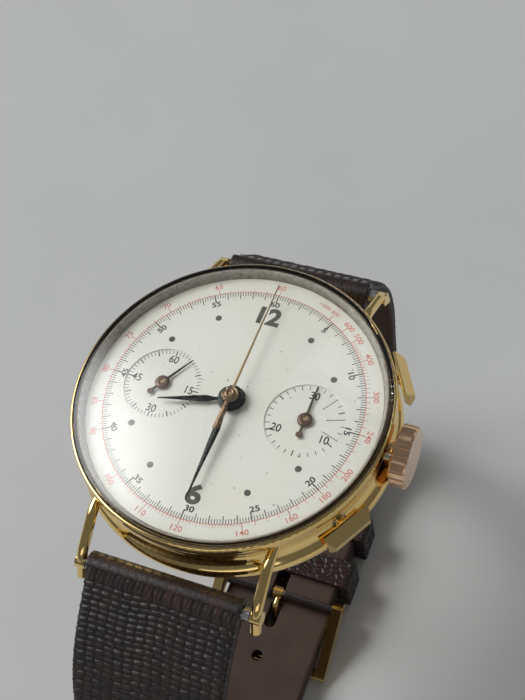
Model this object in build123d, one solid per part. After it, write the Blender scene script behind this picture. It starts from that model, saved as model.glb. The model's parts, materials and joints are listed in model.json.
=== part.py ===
"""Chronograph wristwatch on a buckled leather strap, in millimetres.

The origin is the centre of the case back's outer face. +Z leaves through the crystal,
+Y points to 12 o'clock and +X to the crown at 3 o'clock.
"""
from build123d import *
import math
import os

os.makedirs("parts", exist_ok=True)

# Case
BEZEL_R = 18.42
BEZEL_TOP = 9.4
FLANGE_R = 18.8
FLANGE_Z = 3.4
WAIST_R = 17.7
BORE_R = 16.95
SEAT_R = 17.75
DIAL_Z = 8.0
DIAL_R = 17.7
DIAL_T = 0.4
CRYSTAL_R = 18.07
CRYSTAL_SHOULDER = 9.7
CRYSTAL_WALL = 0.6
CRYSTAL_TOP = 11.5
CRYSTAL_T = 0.7
BACK_T = 0.8
BACK_R = 17.4

# Lugs and strap
LUG_X = 10.35
LUG_WIRE_R = 0.6
LUG_EYE_R = 0.8
BAR_Y = 21.0
BAR_Z = 3.2
BAR_R = 0.75
BAR_TIP_R = 0.35
STRAP_X = -0.3
STRAP_T = 2.0
STRAP_W = 18.0
STRAP_END_W = 16.0
STRAP_DROP = 46.97
TAIL_GAP = 2.1
KEEPER_T = 1.5
KEEPER_W = 4.0
FIXED_KEEPER_Y = 1.5
FREE_KEEPER_Y = 9.0
BUCKLE_BAR_Y = -3.2
BUCKLE_BAR_R = 0.55
BUCKLE_TIP_Y = -12.0
BUCKLE_WIRE_R = 0.8
BUCKLE_ARM_T = 1.4
PRONG_HOLE_Y = BUCKLE_BAR_Y - 3.1
HOLE_PITCH = 6.5
HOLE_R = 0.8
FOLD_R = 1.5

# The strap's side view: each half falls from its bar in one bend and turns under in another
LONG_SLOPE = 27.0
LONG_BEND_R = 26.0
LONG_CORNER_R = 18.0
SHORT_SLOPE = 38.0
SHORT_BEND_R = 21.0
SHORT_CORNER_R = 16.0
TAIL_ARC = 68.0
TIP_LENGTH = 6.5
TIP_HALF_W = 2.5
TAIL_Z = BAR_Z - STRAP_DROP
SHORT_Z = TAIL_Z + TAIL_GAP
KEEPER_CLEAR = 0.2
REST_Z = TAIL_Z - STRAP_T / 2 - KEEPER_CLEAR - KEEPER_T
LONG_STRAIGHT = STRAP_DROP - LONG_CORNER_R - LONG_BEND_R * math.cos(math.radians(LONG_SLOPE))
SHORT_STRAIGHT = (
    STRAP_DROP - TAIL_GAP - SHORT_CORNER_R - SHORT_BEND_R * math.cos(math.radians(SHORT_SLOPE))
)
CORNER_Y = BAR_Y + SHORT_BEND_R * (1 - math.sin(math.radians(SHORT_SLOPE))) - SHORT_CORNER_R

# Levels of the movement, from the case back towards the dial
CHRONO_BRIDGE_Z = (1.2, 1.8)
LEVER_Z = (1.95, 2.2)
CHRONO_WHEEL_Z = (2.3, 2.45)
BRIDGE_Z = (2.9, 3.7)
WINDING_Z = (3.8, 4.05)
BARREL_Z = (4.15, 4.95)
PLATE_Z = (5.5, 6.5)
MOVEMENT_R = 16.6
RIM_R = 15.6

# Stem, crown and pushers
STEM_Z = 6.0
STEM_R = 0.45
CROWN_R = 3.5
CROWN_X = (19.0, 20.9)
FLUTES = 24
FLUTE_R = 0.2
PUSHER_ANGLE = 30.0
PUSHER_Z = 5.3
PUSHER_IN = 18.75
PUSHER_OUT = 20.1
PUSHER_W = 5.8
PUSHER_STEM_R = 0.6
PUSHER_STEM_IN = 15.4
TUBE_R = 0.95

# Axes of the wheels, as (x, y)
CENTRE = (0.0, 0.0)
SUB_DIAL_X = 8.63
FOURTH = (-SUB_DIAL_X, 0.0)
RECORDER = (SUB_DIAL_X, 0.0)
THIRD = (-4.641, 3.178)
ESCAPE = (-7.377, -4.675)
FORK = (-6.304, -6.977)
BALANCE = (-4.183, -9.505)
BARREL = (3.565, 6.175)
MINUTE_WHEEL = (2.16, -2.574)
CROWN_WHEEL = (11.6, 0.0)
WINDING_IDLER = (7.87, 2.865)
COUPLING = (-5.02, 3.194)
RECORDER_IDLER = (5.11, 0.0)
COLUMN_WHEEL = (10.6, -5.6)
CLICK = (0.6, 9.9)
HAMMER = (4.3, -4.2)
SETTING_LEVER = (14.9, 3.3)

# Pierced rubies
JEWEL_R = 0.6
JEWEL_T = 0.3
PLATE_JEWELS = [THIRD, ESCAPE, FORK, BALANCE]
TRAIN_JEWELS = [THIRD, ESCAPE]

# Pivots of the two operating levers, as radius and angle
LEVER_PIVOT_AT = (14.1, 5.0)
RESET_PIVOT_AT = (14.1, -52.0)

# Screwed feet of the bridges and the case clamps, as (x, y)
TRAIN_FEET = [(-13.2, 4.5), (-13.0, -4.0), (2.0, -6.6)]
BARREL_FEET = [(13.6, 3.0), (-2.0, 13.0), (9.5, -8.5)]
COCK_FOOT = (-10.5, -9.5)
CHRONO_FEET = [(7.6, -5.0), (5.4, 4.6), (-3.4, -4.4)]
CLAMPS = [(0.0, 16.1), (0.0, -16.1)]
DIAL_FEET = [(-5.0, 12.0), (6.0, -12.5)]
FOOT_R = 1.0
SCREW_R = 0.35
SCREW_HEAD_R = 0.75

# Time shown by the hands, in degrees clockwise from 12
HOUR_ANGLE = 255.0
MINUTE_ANGLE = 180.0
RUNNING_ANGLE = 32.0


def save(name, *pieces):
    """Write one sub-part, a single solid or a group of separate ones."""
    shape = pieces[0] if len(pieces) == 1 else Compound(list(pieces))
    export_step(shape, f"parts/{name}.step")


def disc(radius, bottom, top, centre=CENTRE):
    """A round plate or post between two heights."""
    return extrude(Pos(centre[0], centre[1], bottom) * Circle(radius), top - bottom)


def ring(outer, inner, bottom, top, centre=CENTRE):
    """A washer or tube between two heights."""
    return disc(outer, bottom, top, centre) - disc(inner, bottom, top, centre)


def block(x, y, z):
    """A box given by its span on each axis."""
    size = (x[1] - x[0], y[1] - y[0], z[1] - z[0])
    middle = (sum(x) / 2, sum(y) / 2, sum(z) / 2)
    return Pos(*middle) * Box(*size)


def rod_x(radius, start, end, y=0.0, z=0.0):
    """A round bar along X."""
    return extrude(Plane.YZ.offset(start) * Pos(y, z) * Circle(radius), end - start)


def turned(*edges):
    """A body of revolution about Z from edges drawn as (radius, height)."""
    return revolve(Plane.XZ * make_face(edges), Axis.Z)


def arm(bottom, top, *rounds):
    """A flat lever: the outline drawn tight round circles given as (x, y, radius)."""
    circles = [Pos(x, y) * Circle(radius).edge() for x, y, radius in rounds]
    return extrude(Pos(0, 0, bottom) * make_hull(circles), top - bottom)


def polar(radius, degrees):
    """The (x, y) of a point at a radius and an angle from +X."""
    turn = math.radians(degrees)
    return radius * math.cos(turn), radius * math.sin(turn)


def bearing(here, there):
    """The direction in degrees from one axis to another."""
    return math.degrees(math.atan2(there[1] - here[1], there[0] - here[0]))


LEVER_PIVOT = polar(*LEVER_PIVOT_AT)
RESET_PIVOT = polar(*RESET_PIVOT_AT)


def gear(teeth, pitch_r, bottom, top, centre=CENTRE, tooth_at=0.0):
    """A flat toothed wheel with one tooth centred on the direction tooth_at."""
    step = 360 / teeth
    module = 2 * pitch_r / teeth
    root = pitch_r - 0.6 * module
    tip = pitch_r + 0.4 * module
    corners = []
    for tooth in range(teeth):
        middle = tooth_at + tooth * step
        corners.append(polar(root, middle - 0.26 * step))
        corners.append(polar(tip, middle - 0.12 * step))
        corners.append(polar(tip, middle + 0.12 * step))
        corners.append(polar(root, middle + 0.26 * step))
    outline = make_face(Polyline(*corners, close=True))
    return extrude(Pos(centre[0], centre[1], bottom) * outline, top - bottom)


def crossed(wheel, outer, inner, bottom, top, centre, arm_w=0.5):
    """Cut four windows in a wheel and leave its arms."""
    windows = ring(outer, inner, bottom, top, centre)
    x, y = centre
    windows -= block((x - outer, x + outer), (y - arm_w / 2, y + arm_w / 2), (bottom, top))
    windows -= block((x - arm_w / 2, x + arm_w / 2), (y - outer, y + outer), (bottom, top))
    return wheel - windows


def arbor(centre, bottom=3.75, top=5.45, radius=0.3, pivot_r=0.12, pivot=0.35):
    """A wheel's steel axle with a thin pivot at each end."""
    return disc(radius, bottom, top, centre) + disc(pivot_r, bottom - pivot, top + pivot, centre)


def spiral(turns, inner, pitch, thickness, bottom, top, centre):
    """A flat coil made of half turns whose centres alternate."""
    coil = None
    reach = inner + (turns + 1) * pitch
    for half in range(2 * turns):
        radius = inner + half * pitch / 2
        side = 1 if half % 2 == 0 else -1
        shift = 0 if half % 2 == 0 else -pitch / 2
        middle = (centre[0] + shift, centre[1])
        turn = ring(radius + thickness, radius, bottom, top, middle)
        far = centre[1] + side * reach
        keep = block((middle[0] - reach, middle[0] + reach), sorted((centre[1], far)), (bottom, top))
        turn = turn & keep
        coil = turn if coil is None else coil + turn
    return coil


# ---------------------------------------------------------------- case


def make_mid_case():
    """The case middle: a thin flange low down, a hollow waist and the dial's seat at the top."""
    band = turned(
        Line((BORE_R, 0.9), (17.5, 0.9)),
        Line((17.5, 0.9), (18.4, 2.5)),
        ThreePointArc((18.4, 2.5), (FLANGE_R, FLANGE_Z), (18.5, 4.1)),
        ThreePointArc((18.5, 4.1), (17.85, 5.0), (WAIST_R, 6.1)),
        Line((WAIST_R, 6.1), (WAIST_R, 7.3)),
        Line((WAIST_R, 7.3), (18.1, 7.75)),
        Line((18.1, 7.75), (18.1, DIAL_Z)),
        Line((18.1, DIAL_Z), (SEAT_R, DIAL_Z)),
        Line((SEAT_R, DIAL_Z), (SEAT_R, DIAL_Z - DIAL_T)),
        Line((SEAT_R, DIAL_Z - DIAL_T), (BORE_R, DIAL_Z - DIAL_T)),
        Line((BORE_R, DIAL_Z - DIAL_T), (BORE_R, 0.9)),
    )
    band -= ring(17.25, BORE_R - 0.1, 2.5, 2.9)
    band -= rod_x(1.0, 15.0, 20.0, z=STEM_Z)
    for angle in (PUSHER_ANGLE, -PUSHER_ANGLE):
        band -= Rot(0, 0, angle) * rod_x(TUBE_R, 15.0, 20.0, z=PUSHER_Z)
    return band


def make_bezel():
    """The polished ring that holds the crystal."""
    return turned(
        Line((18.1, 7.78), (18.3, 7.78)),
        ThreePointArc((18.3, 7.78), (BEZEL_R, 8.5), (18.33, 9.15)),
        ThreePointArc((18.33, 9.15), (18.23, 9.35), (CRYSTAL_R, BEZEL_TOP)),
        Line((CRYSTAL_R, BEZEL_TOP), (CRYSTAL_R, DIAL_Z)),
        Line((CRYSTAL_R, DIAL_Z), (18.1, DIAL_Z)),
        Line((18.1, DIAL_Z), (18.1, 7.78)),
    )


def domed(radius, bottom, shoulder, top):
    """A round post whose upper end swells from its shoulder to a dome."""
    rise = top - shoulder
    dome_r = (radius**2 + rise**2) / (2 * rise)
    return disc(radius, bottom, top) & (Pos(0, 0, top - dome_r) * Sphere(dome_r))


def make_crystal():
    """A domed acrylic glass with an upright wall that stands on the dial's edge."""
    outside = domed(CRYSTAL_R, DIAL_Z, CRYSTAL_SHOULDER, CRYSTAL_TOP)
    inside_shoulder = CRYSTAL_SHOULDER - 0.35
    inside = domed(CRYSTAL_R - CRYSTAL_WALL, DIAL_Z, inside_shoulder, CRYSTAL_TOP - CRYSTAL_T)
    return outside - inside


def make_case_back():
    """A snap back: a shallow dish with a rim that enters the case."""
    plate = disc(BACK_R, 0, 0.9) - disc(15.9, BACK_T, 0.9)
    plate = chamfer(plate.edges().sort_by(Axis.Z)[0], 0.3)
    return plate + ring(BORE_R, 16.3, 0.9, 1.15)


def make_lugs():
    """Four bent wire lugs from the case's waist down to the spring bars."""
    path = FilletPolyline(
        (LUG_X, 13.9, 6.7),
        (LUG_X, 16.2, 6.6),
        (LUG_X, 20.6, 4.2),
        (LUG_X, 22.0, 1.6),
        radius=[2.5, 3.0],
    )
    wire = sweep(Plane(path @ 0, z_dir=path % 0) * Circle(LUG_WIRE_R), path=path)
    eye = rod_x(LUG_EYE_R, LUG_X - LUG_WIRE_R, LUG_X + LUG_WIRE_R, y=BAR_Y, z=BAR_Z)
    lug = wire + eye
    lug -= rod_x(BAR_TIP_R + 0.01, LUG_X - LUG_WIRE_R - 0.1, LUG_X + 0.3, y=BAR_Y, z=BAR_Z)
    lug -= make_mid_case() + disc(17.4, 1.0, DIAL_Z)
    lug = lug.solids().sort_by(Axis.Y)[-1]
    far_pair = [lug, mirror(lug, Plane.YZ)]
    return far_pair + [mirror(one, Plane.XZ) for one in far_pair]


def make_spring_bar(end):
    """A sprung pin between two lugs: a tube with a thin tip at each end."""
    gap = LUG_X - LUG_WIRE_R
    tube = rod_x(BAR_R, -gap + 0.1, gap - 0.1, y=end * BAR_Y, z=BAR_Z)
    tips = rod_x(BAR_TIP_R, -gap - 0.8, gap + 0.8, y=end * BAR_Y, z=BAR_Z)
    return tube + tips


# ---------------------------------------------------------------- dial and hands


def make_dial():
    """The dial plate with two sunk sub-dials and its two feet."""
    plate = disc(DIAL_R, DIAL_Z - DIAL_T, DIAL_Z)
    for centre in (FOURTH, RECORDER):
        plate -= disc(4.55, DIAL_Z - 0.12, DIAL_Z, centre)
        plate -= disc(0.45, DIAL_Z - DIAL_T, DIAL_Z, centre)
    plate -= disc(1.25, DIAL_Z - DIAL_T, DIAL_Z)
    for foot in DIAL_FEET:
        plate += disc(0.4, 5.8, DIAL_Z - DIAL_T, foot)
    return plate


def leaf_hand(length, hub_r, bore_r, belly, belly_at, bottom, thickness, degrees):
    """A leaf-shaped hand that points to 12 before it is turned clockwise by degrees."""
    blade = Polyline(
        (-0.22, 0), (-0.22, hub_r), (-belly, belly_at), (-0.07, length),
        (0.07, length), (belly, belly_at), (0.22, hub_r), (0.22, 0), close=True,
    )
    hand = extrude(Pos(0, 0, bottom) * make_face(blade), thickness)
    hand += disc(hub_r, bottom, bottom + thickness)
    hand -= disc(bore_r, bottom, bottom + thickness)
    return Rot(0, 0, -degrees) * hand


def make_chrono_hand():
    """The centre seconds hand: a needle, a turned boss and a plain counterweight."""
    blade = Polyline((-0.16, 0), (-0.07, 15.4), (0.07, 15.4), (0.16, 0), close=True)
    tail = Polyline((-0.18, 0), (-0.27, -4.6), (0.27, -4.6), (0.18, 0), close=True)
    hand = extrude(Pos(0, 0, 9.4) * make_face(blade), 0.12)
    hand += extrude(Pos(0, 0, 9.4) * make_face(tail), 0.12)
    hand += disc(0.85, 9.3, 9.9)
    return hand - disc(0.25, 9.3, 9.9)


def make_small_hand(centre, length, tail, degrees):
    """A sub-dial hand with a boss and a small round weight on its tail."""
    bottom = DIAL_Z + 0.15
    blade = Polyline((-0.13, 0), (-0.05, length), (0.05, length), (0.13, 0), close=True)
    hand = extrude(Pos(0, 0, bottom) * make_face(blade), 0.12)
    hand += block((-0.12, 0.12), (-tail, 0), (bottom, bottom + 0.12))
    hand += disc(0.3, bottom, bottom + 0.12, (0, -tail))
    hand += disc(0.68, bottom - 0.1, bottom + 0.25)
    hand -= disc(0.2, bottom - 0.1, bottom + 0.25)
    return Pos(centre[0], centre[1], 0) * Rot(0, 0, -degrees) * hand


# ---------------------------------------------------------------- crown and pushers


def make_crown():
    """A fluted crown with a domed face, screwed to the stem."""
    inner, outer = CROWN_X
    body = rod_x(CROWN_R, inner, outer, z=STEM_Z)
    rims = [body.edges().sort_by(Axis.X)[0], body.edges().sort_by(Axis.X)[-1]]
    body = chamfer(rims, 0.25)
    for flute in range(FLUTES):
        groove = rod_x(FLUTE_R, inner - 0.1, outer + 0.1, y=CROWN_R)
        body -= Pos(0, 0, STEM_Z) * Rot(flute * 360 / FLUTES, 0, 0) * groove
    return body - rod_x(STEM_R, inner, outer - 0.6, z=STEM_Z)


def make_stem():
    """The winding stem: a groove for the setting lever, a square for the pinions and a pilot."""
    stem = rod_x(STEM_R, 14.6, CROWN_X[1] - 0.6, z=STEM_Z)
    stem -= rod_x(STEM_R, 14.8, 15.4, z=STEM_Z) - rod_x(0.25, 14.8, 15.4, z=STEM_Z)
    stem += block((10.4, 14.6), (-0.3, 0.3), (STEM_Z - 0.3, STEM_Z + 0.3))
    return stem + rod_x(0.28, 9.3, 10.4, z=STEM_Z)


def make_winding_pinion():
    """The pinion that the stem's square turns and slides through."""
    wheel = gear(28, 1.4, 0, 1.4)
    wheel -= block((-0.36, 0.36), (-0.36, 0.36), (0, 1.4))
    return Pos(13.0, 0, STEM_Z) * Rot(0, 90, 0) * wheel


def make_sliding_pinion():
    """The clutch on the stem's square, with a groove for the yoke."""
    wheel = disc(1.1, 0, 1.6) - ring(1.1, 0.8, 0.6, 1.0)
    wheel -= block((-0.36, 0.36), (-0.36, 0.36), (0, 1.6))
    return Pos(11.25, 0, STEM_Z) * Rot(0, 90, 0) * wheel


def make_setting_lever():
    """The lever whose pin holds the stem in its groove."""
    x, y = SETTING_LEVER
    lever = arm(6.6, 6.9, (x, y, 0.6), (15.1, 0.0, 0.35))
    lever += disc(0.13, 6.3, 6.6, (15.1, 0.0))
    return lever - disc(0.25, 6.6, 6.9, SETTING_LEVER)


def make_pusher(side):
    """A wedge-shaped push piece with bevelled ends on a round stem."""
    half = PUSHER_W / 2
    profile = Polyline(
        (PUSHER_IN, 6.8), (19.05, 6.85), (PUSHER_OUT, 5.5), (PUSHER_OUT, 4.7),
        (19.6, 4.1), (19.25, 4.2), (PUSHER_IN, 5.2), close=True,
    )
    cap = extrude(Plane.XZ * make_face(profile), half, both=True)
    plan = Polyline(
        (PUSHER_IN, -half), (19.4, -half), (PUSHER_OUT, 0.5 - half), (PUSHER_OUT, half - 0.5),
        (19.4, half), (PUSHER_IN, half), close=True,
    )
    cap &= Pos(0, 0, 3.0) * extrude(make_face(plan), 5.0)
    stem = rod_x(PUSHER_STEM_R, PUSHER_STEM_IN, PUSHER_IN + 0.5, z=PUSHER_Z)
    return Rot(0, 0, side * PUSHER_ANGLE) * (cap + stem)


def make_pusher_tubes():
    """The sleeves that guide the two push pieces through the case."""
    sleeve = rod_x(TUBE_R, 17.0, 17.7, z=PUSHER_Z) - rod_x(0.65, 17.0, 17.7, z=PUSHER_Z)
    return [Rot(0, 0, side * PUSHER_ANGLE) * sleeve for side in (1, -1)]


def make_crown_tube():
    """The sleeve that guides the stem through the case."""
    return rod_x(1.0, 17.0, 18.8, z=STEM_Z) - rod_x(STEM_R + 0.05, 17.0, 18.8, z=STEM_Z)


# ---------------------------------------------------------------- plates and bridges

def screw_holes(feet, bottom, top):
    """Round bars that cut the holes of a bridge's screws."""
    return [disc(SCREW_R, bottom, top, foot) for foot in feet]


def make_main_plate():
    """The main plate: a disc, a rim that carries the dial and the feet that carry the bridges."""
    low, high = PLATE_Z
    plate = disc(MOVEMENT_R, low, high)
    plate += ring(MOVEMENT_R, RIM_R, BRIDGE_Z[0], low)
    plate += ring(MOVEMENT_R, 16.0, high, DIAL_Z - DIAL_T)
    for angle in (PUSHER_ANGLE, -PUSHER_ANGLE):
        plate -= Rot(0, 0, angle) * block((13.9, 17.0), (-1.6, 1.6), (2.0, high + 0.35))
    for foot in TRAIN_FEET + BARREL_FEET + [COCK_FOOT]:
        plate += disc(FOOT_R, BRIDGE_Z[1], low, foot)
    for pivot in (LEVER_PIVOT, RESET_PIVOT):
        plate += disc(0.25, LEVER_Z[0] - 0.1, 2.5, pivot)
        plate += disc(0.45, 2.5, low, pivot)
    plate += disc(0.3, high, 7.4, MINUTE_WHEEL)
    plate += disc(0.25, high, 7.1, SETTING_LEVER)
    plate -= disc(0.62, low, high)
    plate -= disc(0.36, low, high, FOURTH)
    plate -= disc(0.36, low, high, RECORDER)
    plate -= disc(0.5, low, high, BARREL)
    for foot in DIAL_FEET:
        plate -= disc(0.4, 5.8, high, foot)
    for centre in PLATE_JEWELS:
        plate -= disc(JEWEL_R, low, low + JEWEL_T, centre)
        plate -= disc(0.2, low, high, centre)
    for hole in screw_holes(TRAIN_FEET + BARREL_FEET + [COCK_FOOT], BRIDGE_Z[1], 4.9):
        plate -= hole
    for hole in screw_holes(CLAMPS, BRIDGE_Z[0], 4.2):
        plate -= hole
    plate -= block((10.4, 14.8), (-1.6, 1.6), (low - 1, high + 1))
    plate -= rod_x(0.5, 14.8, 17.0, z=STEM_Z)
    plate -= rod_x(0.33, 9.1, 10.4, z=STEM_Z)
    plate -= block((14.7, 16.59), (-0.9, 2.0), (STEM_Z, high + 0.7))
    return plate


def make_case_clamps():
    """Two tabs that hold the movement in the groove of the case."""
    tabs = []
    for side in (1, -1):
        tab = block((-1.2, 1.2), sorted((side * 15.2, side * 17.1)), (2.55, 2.85))
        tab -= disc(SCREW_R, 2.5, 2.9, (0.0, side * 16.1))
        tabs.append(tab)
    return tabs


def make_screw(centre, head_bottom, end):
    """A slotted screw with its head towards the case back."""
    head_top = head_bottom + 0.3
    screw = disc(SCREW_HEAD_R, head_bottom, head_top, centre) + disc(SCREW_R, head_top, end, centre)
    x, y = centre
    slot = block((x - 1, x + 1), (y - 0.1, y + 0.1), (head_bottom, head_bottom + 0.12))
    return screw - slot


def make_screws():
    """The screws of the bridges' feet and of the two case clamps."""
    feet = TRAIN_FEET + BARREL_FEET + [COCK_FOOT]
    screws = [make_screw(foot, BRIDGE_Z[0] - 0.3, 4.9) for foot in feet]
    return screws + [make_screw(place, 2.25, 4.2) for place in CLAMPS]


def make_train_bridge():
    """The bridge over the centre, third, fourth and escape wheels."""
    rounds = [(*foot, 1.6) for foot in TRAIN_FEET]
    rounds += [(*CENTRE, 2.0), (*THIRD, 1.5), (*FOURTH, 2.0), (*ESCAPE, 1.4)]
    bridge = arm(*BRIDGE_Z, *rounds)
    bridge -= disc(0.62, *BRIDGE_Z, CENTRE)
    bridge -= disc(0.36, *BRIDGE_Z, FOURTH)
    for hole in screw_holes(TRAIN_FEET, *BRIDGE_Z):
        bridge -= hole
    for centre in TRAIN_JEWELS:
        bridge -= disc(JEWEL_R, BRIDGE_Z[1] - JEWEL_T, BRIDGE_Z[1], centre)
        bridge -= disc(0.2, *BRIDGE_Z, centre)
    return bridge


def make_barrel_bridge():
    """The bridge over the barrel, the winding wheels and the recorder's axle."""
    rounds = [(*foot, 1.6) for foot in BARREL_FEET] + [(*CROWN_WHEEL, 1.6)]
    bridge = arm(*BRIDGE_Z, *rounds)
    bridge -= disc(0.36, *BRIDGE_Z, RECORDER)
    bridge -= disc(0.5, *BRIDGE_Z, BARREL)
    for hole in screw_holes(BARREL_FEET, *BRIDGE_Z):
        bridge -= hole
    bridge -= disc(0.5, *BRIDGE_Z, LEVER_PIVOT)
    for stud in (CROWN_WHEEL, WINDING_IDLER, CLICK):
        bridge += disc(0.35, BRIDGE_Z[1], 4.15, stud)
    bridge += disc(0.25, 2.0, BRIDGE_Z[0], COLUMN_WHEEL)
    bridge += disc(0.2, 2.1, BRIDGE_Z[0], RECORDER_IDLER)
    return bridge


def make_balance_cock():
    """The cock over the balance, with its jewel hole."""
    cock = arm(*BRIDGE_Z, (*COCK_FOOT, 1.35), (*BALANCE, 1.95))
    cock -= disc(SCREW_R, *BRIDGE_Z, COCK_FOOT)
    cock -= disc(JEWEL_R, BRIDGE_Z[1] - JEWEL_T, BRIDGE_Z[1], BALANCE)
    return cock - disc(0.2, *BRIDGE_Z, BALANCE)


def make_pallet_bridge():
    """The small bridge under the balance rim that holds the pallet fork's axle."""
    bridge = arm(4.55, 4.75, (*FORK, 0.6), (-9.6, -7.2, 0.6))
    bridge += disc(0.6, 4.75, PLATE_Z[0], (-9.6, -7.2))
    return bridge - disc(0.15, 4.55, 4.75, FORK)


def make_chrono_bridge():
    """The bridge over the chronograph runner and the minute recorder."""
    rounds = [(*foot, 1.1) for foot in CHRONO_FEET] + [(*CENTRE, 1.6), (*RECORDER, 1.4)]
    bridge = arm(*CHRONO_BRIDGE_Z, *rounds)
    for foot in CHRONO_FEET:
        bridge += disc(0.6, CHRONO_BRIDGE_Z[1], BRIDGE_Z[0], foot)
    bridge += disc(0.25, CHRONO_BRIDGE_Z[1], 2.25, HAMMER)
    bridge -= disc(0.28, *CHRONO_BRIDGE_Z, CENTRE)
    return bridge - disc(0.28, *CHRONO_BRIDGE_Z, RECORDER)


def make_jewels():
    """Pierced rubies for the train, the escapement and the balance."""
    low = PLATE_Z[0]
    in_plate = [ring(JEWEL_R, 0.15, low, low + JEWEL_T, centre) for centre in PLATE_JEWELS]
    high = BRIDGE_Z[1]
    in_bridges = [ring(JEWEL_R, 0.15, high - JEWEL_T, high, centre) for centre in TRAIN_JEWELS + [BALANCE]]
    return in_plate + in_bridges


# ---------------------------------------------------------------- going train


def make_barrel():
    """The mainspring barrel: a closed drum with a toothed edge."""
    low, high = BARREL_Z
    drum = disc(5.7, low, high, BARREL) - disc(5.3, low + 0.12, high - 0.12, BARREL)
    teeth = gear(80, 6.2, 4.6, 4.85, BARREL, bearing(BARREL, CENTRE))
    drum += teeth - disc(5.5, 4.6, 4.85, BARREL)
    return drum - disc(0.87, low, high, BARREL)


def make_mainspring():
    """The mainspring, coiled in the barrel."""
    return spiral(9, 1.7, 0.36, 0.14, 4.33, 4.77, BARREL)


def make_barrel_arbor():
    """The square-shouldered axle that the mainspring hooks to."""
    return disc(0.8, 3.72, 5.48, BARREL) + disc(0.45, BRIDGE_Z[0] + 0.05, 6.4, BARREL)


def make_ratchet_wheel():
    """The wheel on the barrel arbor that the crown winds."""
    wheel = gear(60, 3.0, *WINDING_Z, BARREL, bearing(BARREL, WINDING_IDLER))
    return wheel - disc(0.8, *WINDING_Z, BARREL)


def make_crown_wheel():
    """The wheel with a second set of upright teeth under the winding pinion."""
    wheel = gear(46, 2.3, *WINDING_Z, CROWN_WHEEL, bearing(CROWN_WHEEL, WINDING_IDLER))
    wheel += ring(2.2, 1.85, WINDING_Z[1], 4.4, CROWN_WHEEL)
    for notch in range(23):
        cut = Rot(0, 0, notch * 360 / 23) * block((1.7, 2.4), (-0.14, 0.14), (4.2, 4.4))
        wheel -= Pos(*CROWN_WHEEL, 0) * cut
    return wheel - disc(0.4, *WINDING_Z, CROWN_WHEEL)


def make_winding_idler():
    """The wheel between the crown wheel and the ratchet wheel."""
    facing = bearing(WINDING_IDLER, CROWN_WHEEL) + 180 / 48
    wheel = gear(48, 2.4, *WINDING_Z, WINDING_IDLER, facing)
    return wheel - disc(0.4, *WINDING_Z, WINDING_IDLER)


def make_click():
    """The pawl that keeps the ratchet wheel from turning back."""
    x, y = polar(3.32, bearing(BARREL, CLICK) + 22)
    click = arm(*WINDING_Z, (*CLICK, 0.65), (BARREL[0] + x, BARREL[1] + y, 0.15))
    return click - disc(0.4, *WINDING_Z, CLICK)


def make_centre_wheel():
    """The centre wheel and pinion on a hollow axle that the chronograph's axle runs through."""
    wheel = gear(80, 5.0, 5.1, 5.25, CENTRE, bearing(CENTRE, THIRD))
    wheel = crossed(wheel, 4.2, 1.0, 5.1, 5.25, CENTRE)
    wheel += gear(12, 0.93, 4.5, 5.1, CENTRE, bearing(CENTRE, BARREL) + 15)
    wheel += disc(0.55, 3.0, 8.85)
    return wheel - disc(0.32, 3.0, 8.85)


def make_third_wheel():
    """The third wheel and pinion."""
    wheel = gear(75, 4.5, 3.85, 4.0, THIRD, bearing(THIRD, FOURTH))
    wheel = crossed(wheel, 3.8, 0.9, 3.85, 4.0, THIRD)
    wheel += gear(10, 0.625, 5.0, 5.35, THIRD, bearing(THIRD, CENTRE) + 18)
    return wheel + arbor(THIRD)


def make_fourth_wheel():
    """The fourth wheel; its long axle carries the small seconds hand and the chronograph's driver."""
    wheel = gear(80, 4.4, 4.4, 4.55, FOURTH, bearing(FOURTH, ESCAPE))
    wheel = crossed(wheel, 3.7, 0.9, 4.4, 4.55, FOURTH)
    wheel += gear(10, 0.6, 3.8, 4.05, FOURTH, bearing(FOURTH, THIRD) + 18)
    driver = gear(72, 3.0, *CHRONO_WHEEL_Z, FOURTH, bearing(FOURTH, COUPLING))
    wheel += crossed(driver, 2.5, 0.8, *CHRONO_WHEEL_Z, FOURTH)
    return wheel + disc(0.3, 2.2, 7.3, FOURTH) + disc(0.2, 7.3, 8.35, FOURTH)


def make_escape_wheel():
    """Fifteen hooked teeth, a small pinion and an axle."""
    corners = []
    for tooth in range(15):
        corners.append(polar(1.6, tooth * 24 + 4))
        corners.append(polar(1.6, tooth * 24 + 16))
        corners.append(polar(2.15, tooth * 24 + 22))
        corners.append(polar(2.15, tooth * 24 + 24))
    outline = make_face(Polyline(*corners, close=True))
    wheel = extrude(Pos(ESCAPE[0], ESCAPE[1], 5.1) * outline, 0.15)
    wheel = crossed(wheel, 1.3, 0.5, 5.1, 5.25, ESCAPE, 0.3)
    wheel += gear(8, 0.44, 4.35, 4.6, ESCAPE, bearing(ESCAPE, FOURTH) + 22.5)
    return wheel + arbor(ESCAPE, radius=0.25)


def make_pallet_fork():
    """The lever between the escape wheel and the balance, with two stones."""
    along = bearing(FORK, BALANCE)
    lever = block((-0.18, 2.1), (-0.18, 0.18), (5.1, 5.25))
    horn = block((2.0, 2.7), (-0.45, 0.45), (5.1, 5.25))
    lever += horn - block((2.3, 2.7), (-0.22, 0.22), (5.1, 5.25))
    fork = Pos(*FORK, 0) * Rot(0, 0, along) * lever
    back = bearing(FORK, ESCAPE)
    for side in (58, -58):
        x, y = polar(1.35, back + side)
        fork += arm(5.1, 5.25, (*FORK, 0.25), (FORK[0] + x, FORK[1] + y, 0.2))
    return fork + disc(0.2, 4.8, 5.45, FORK) + disc(0.12, 4.58, 5.78, FORK)


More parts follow.
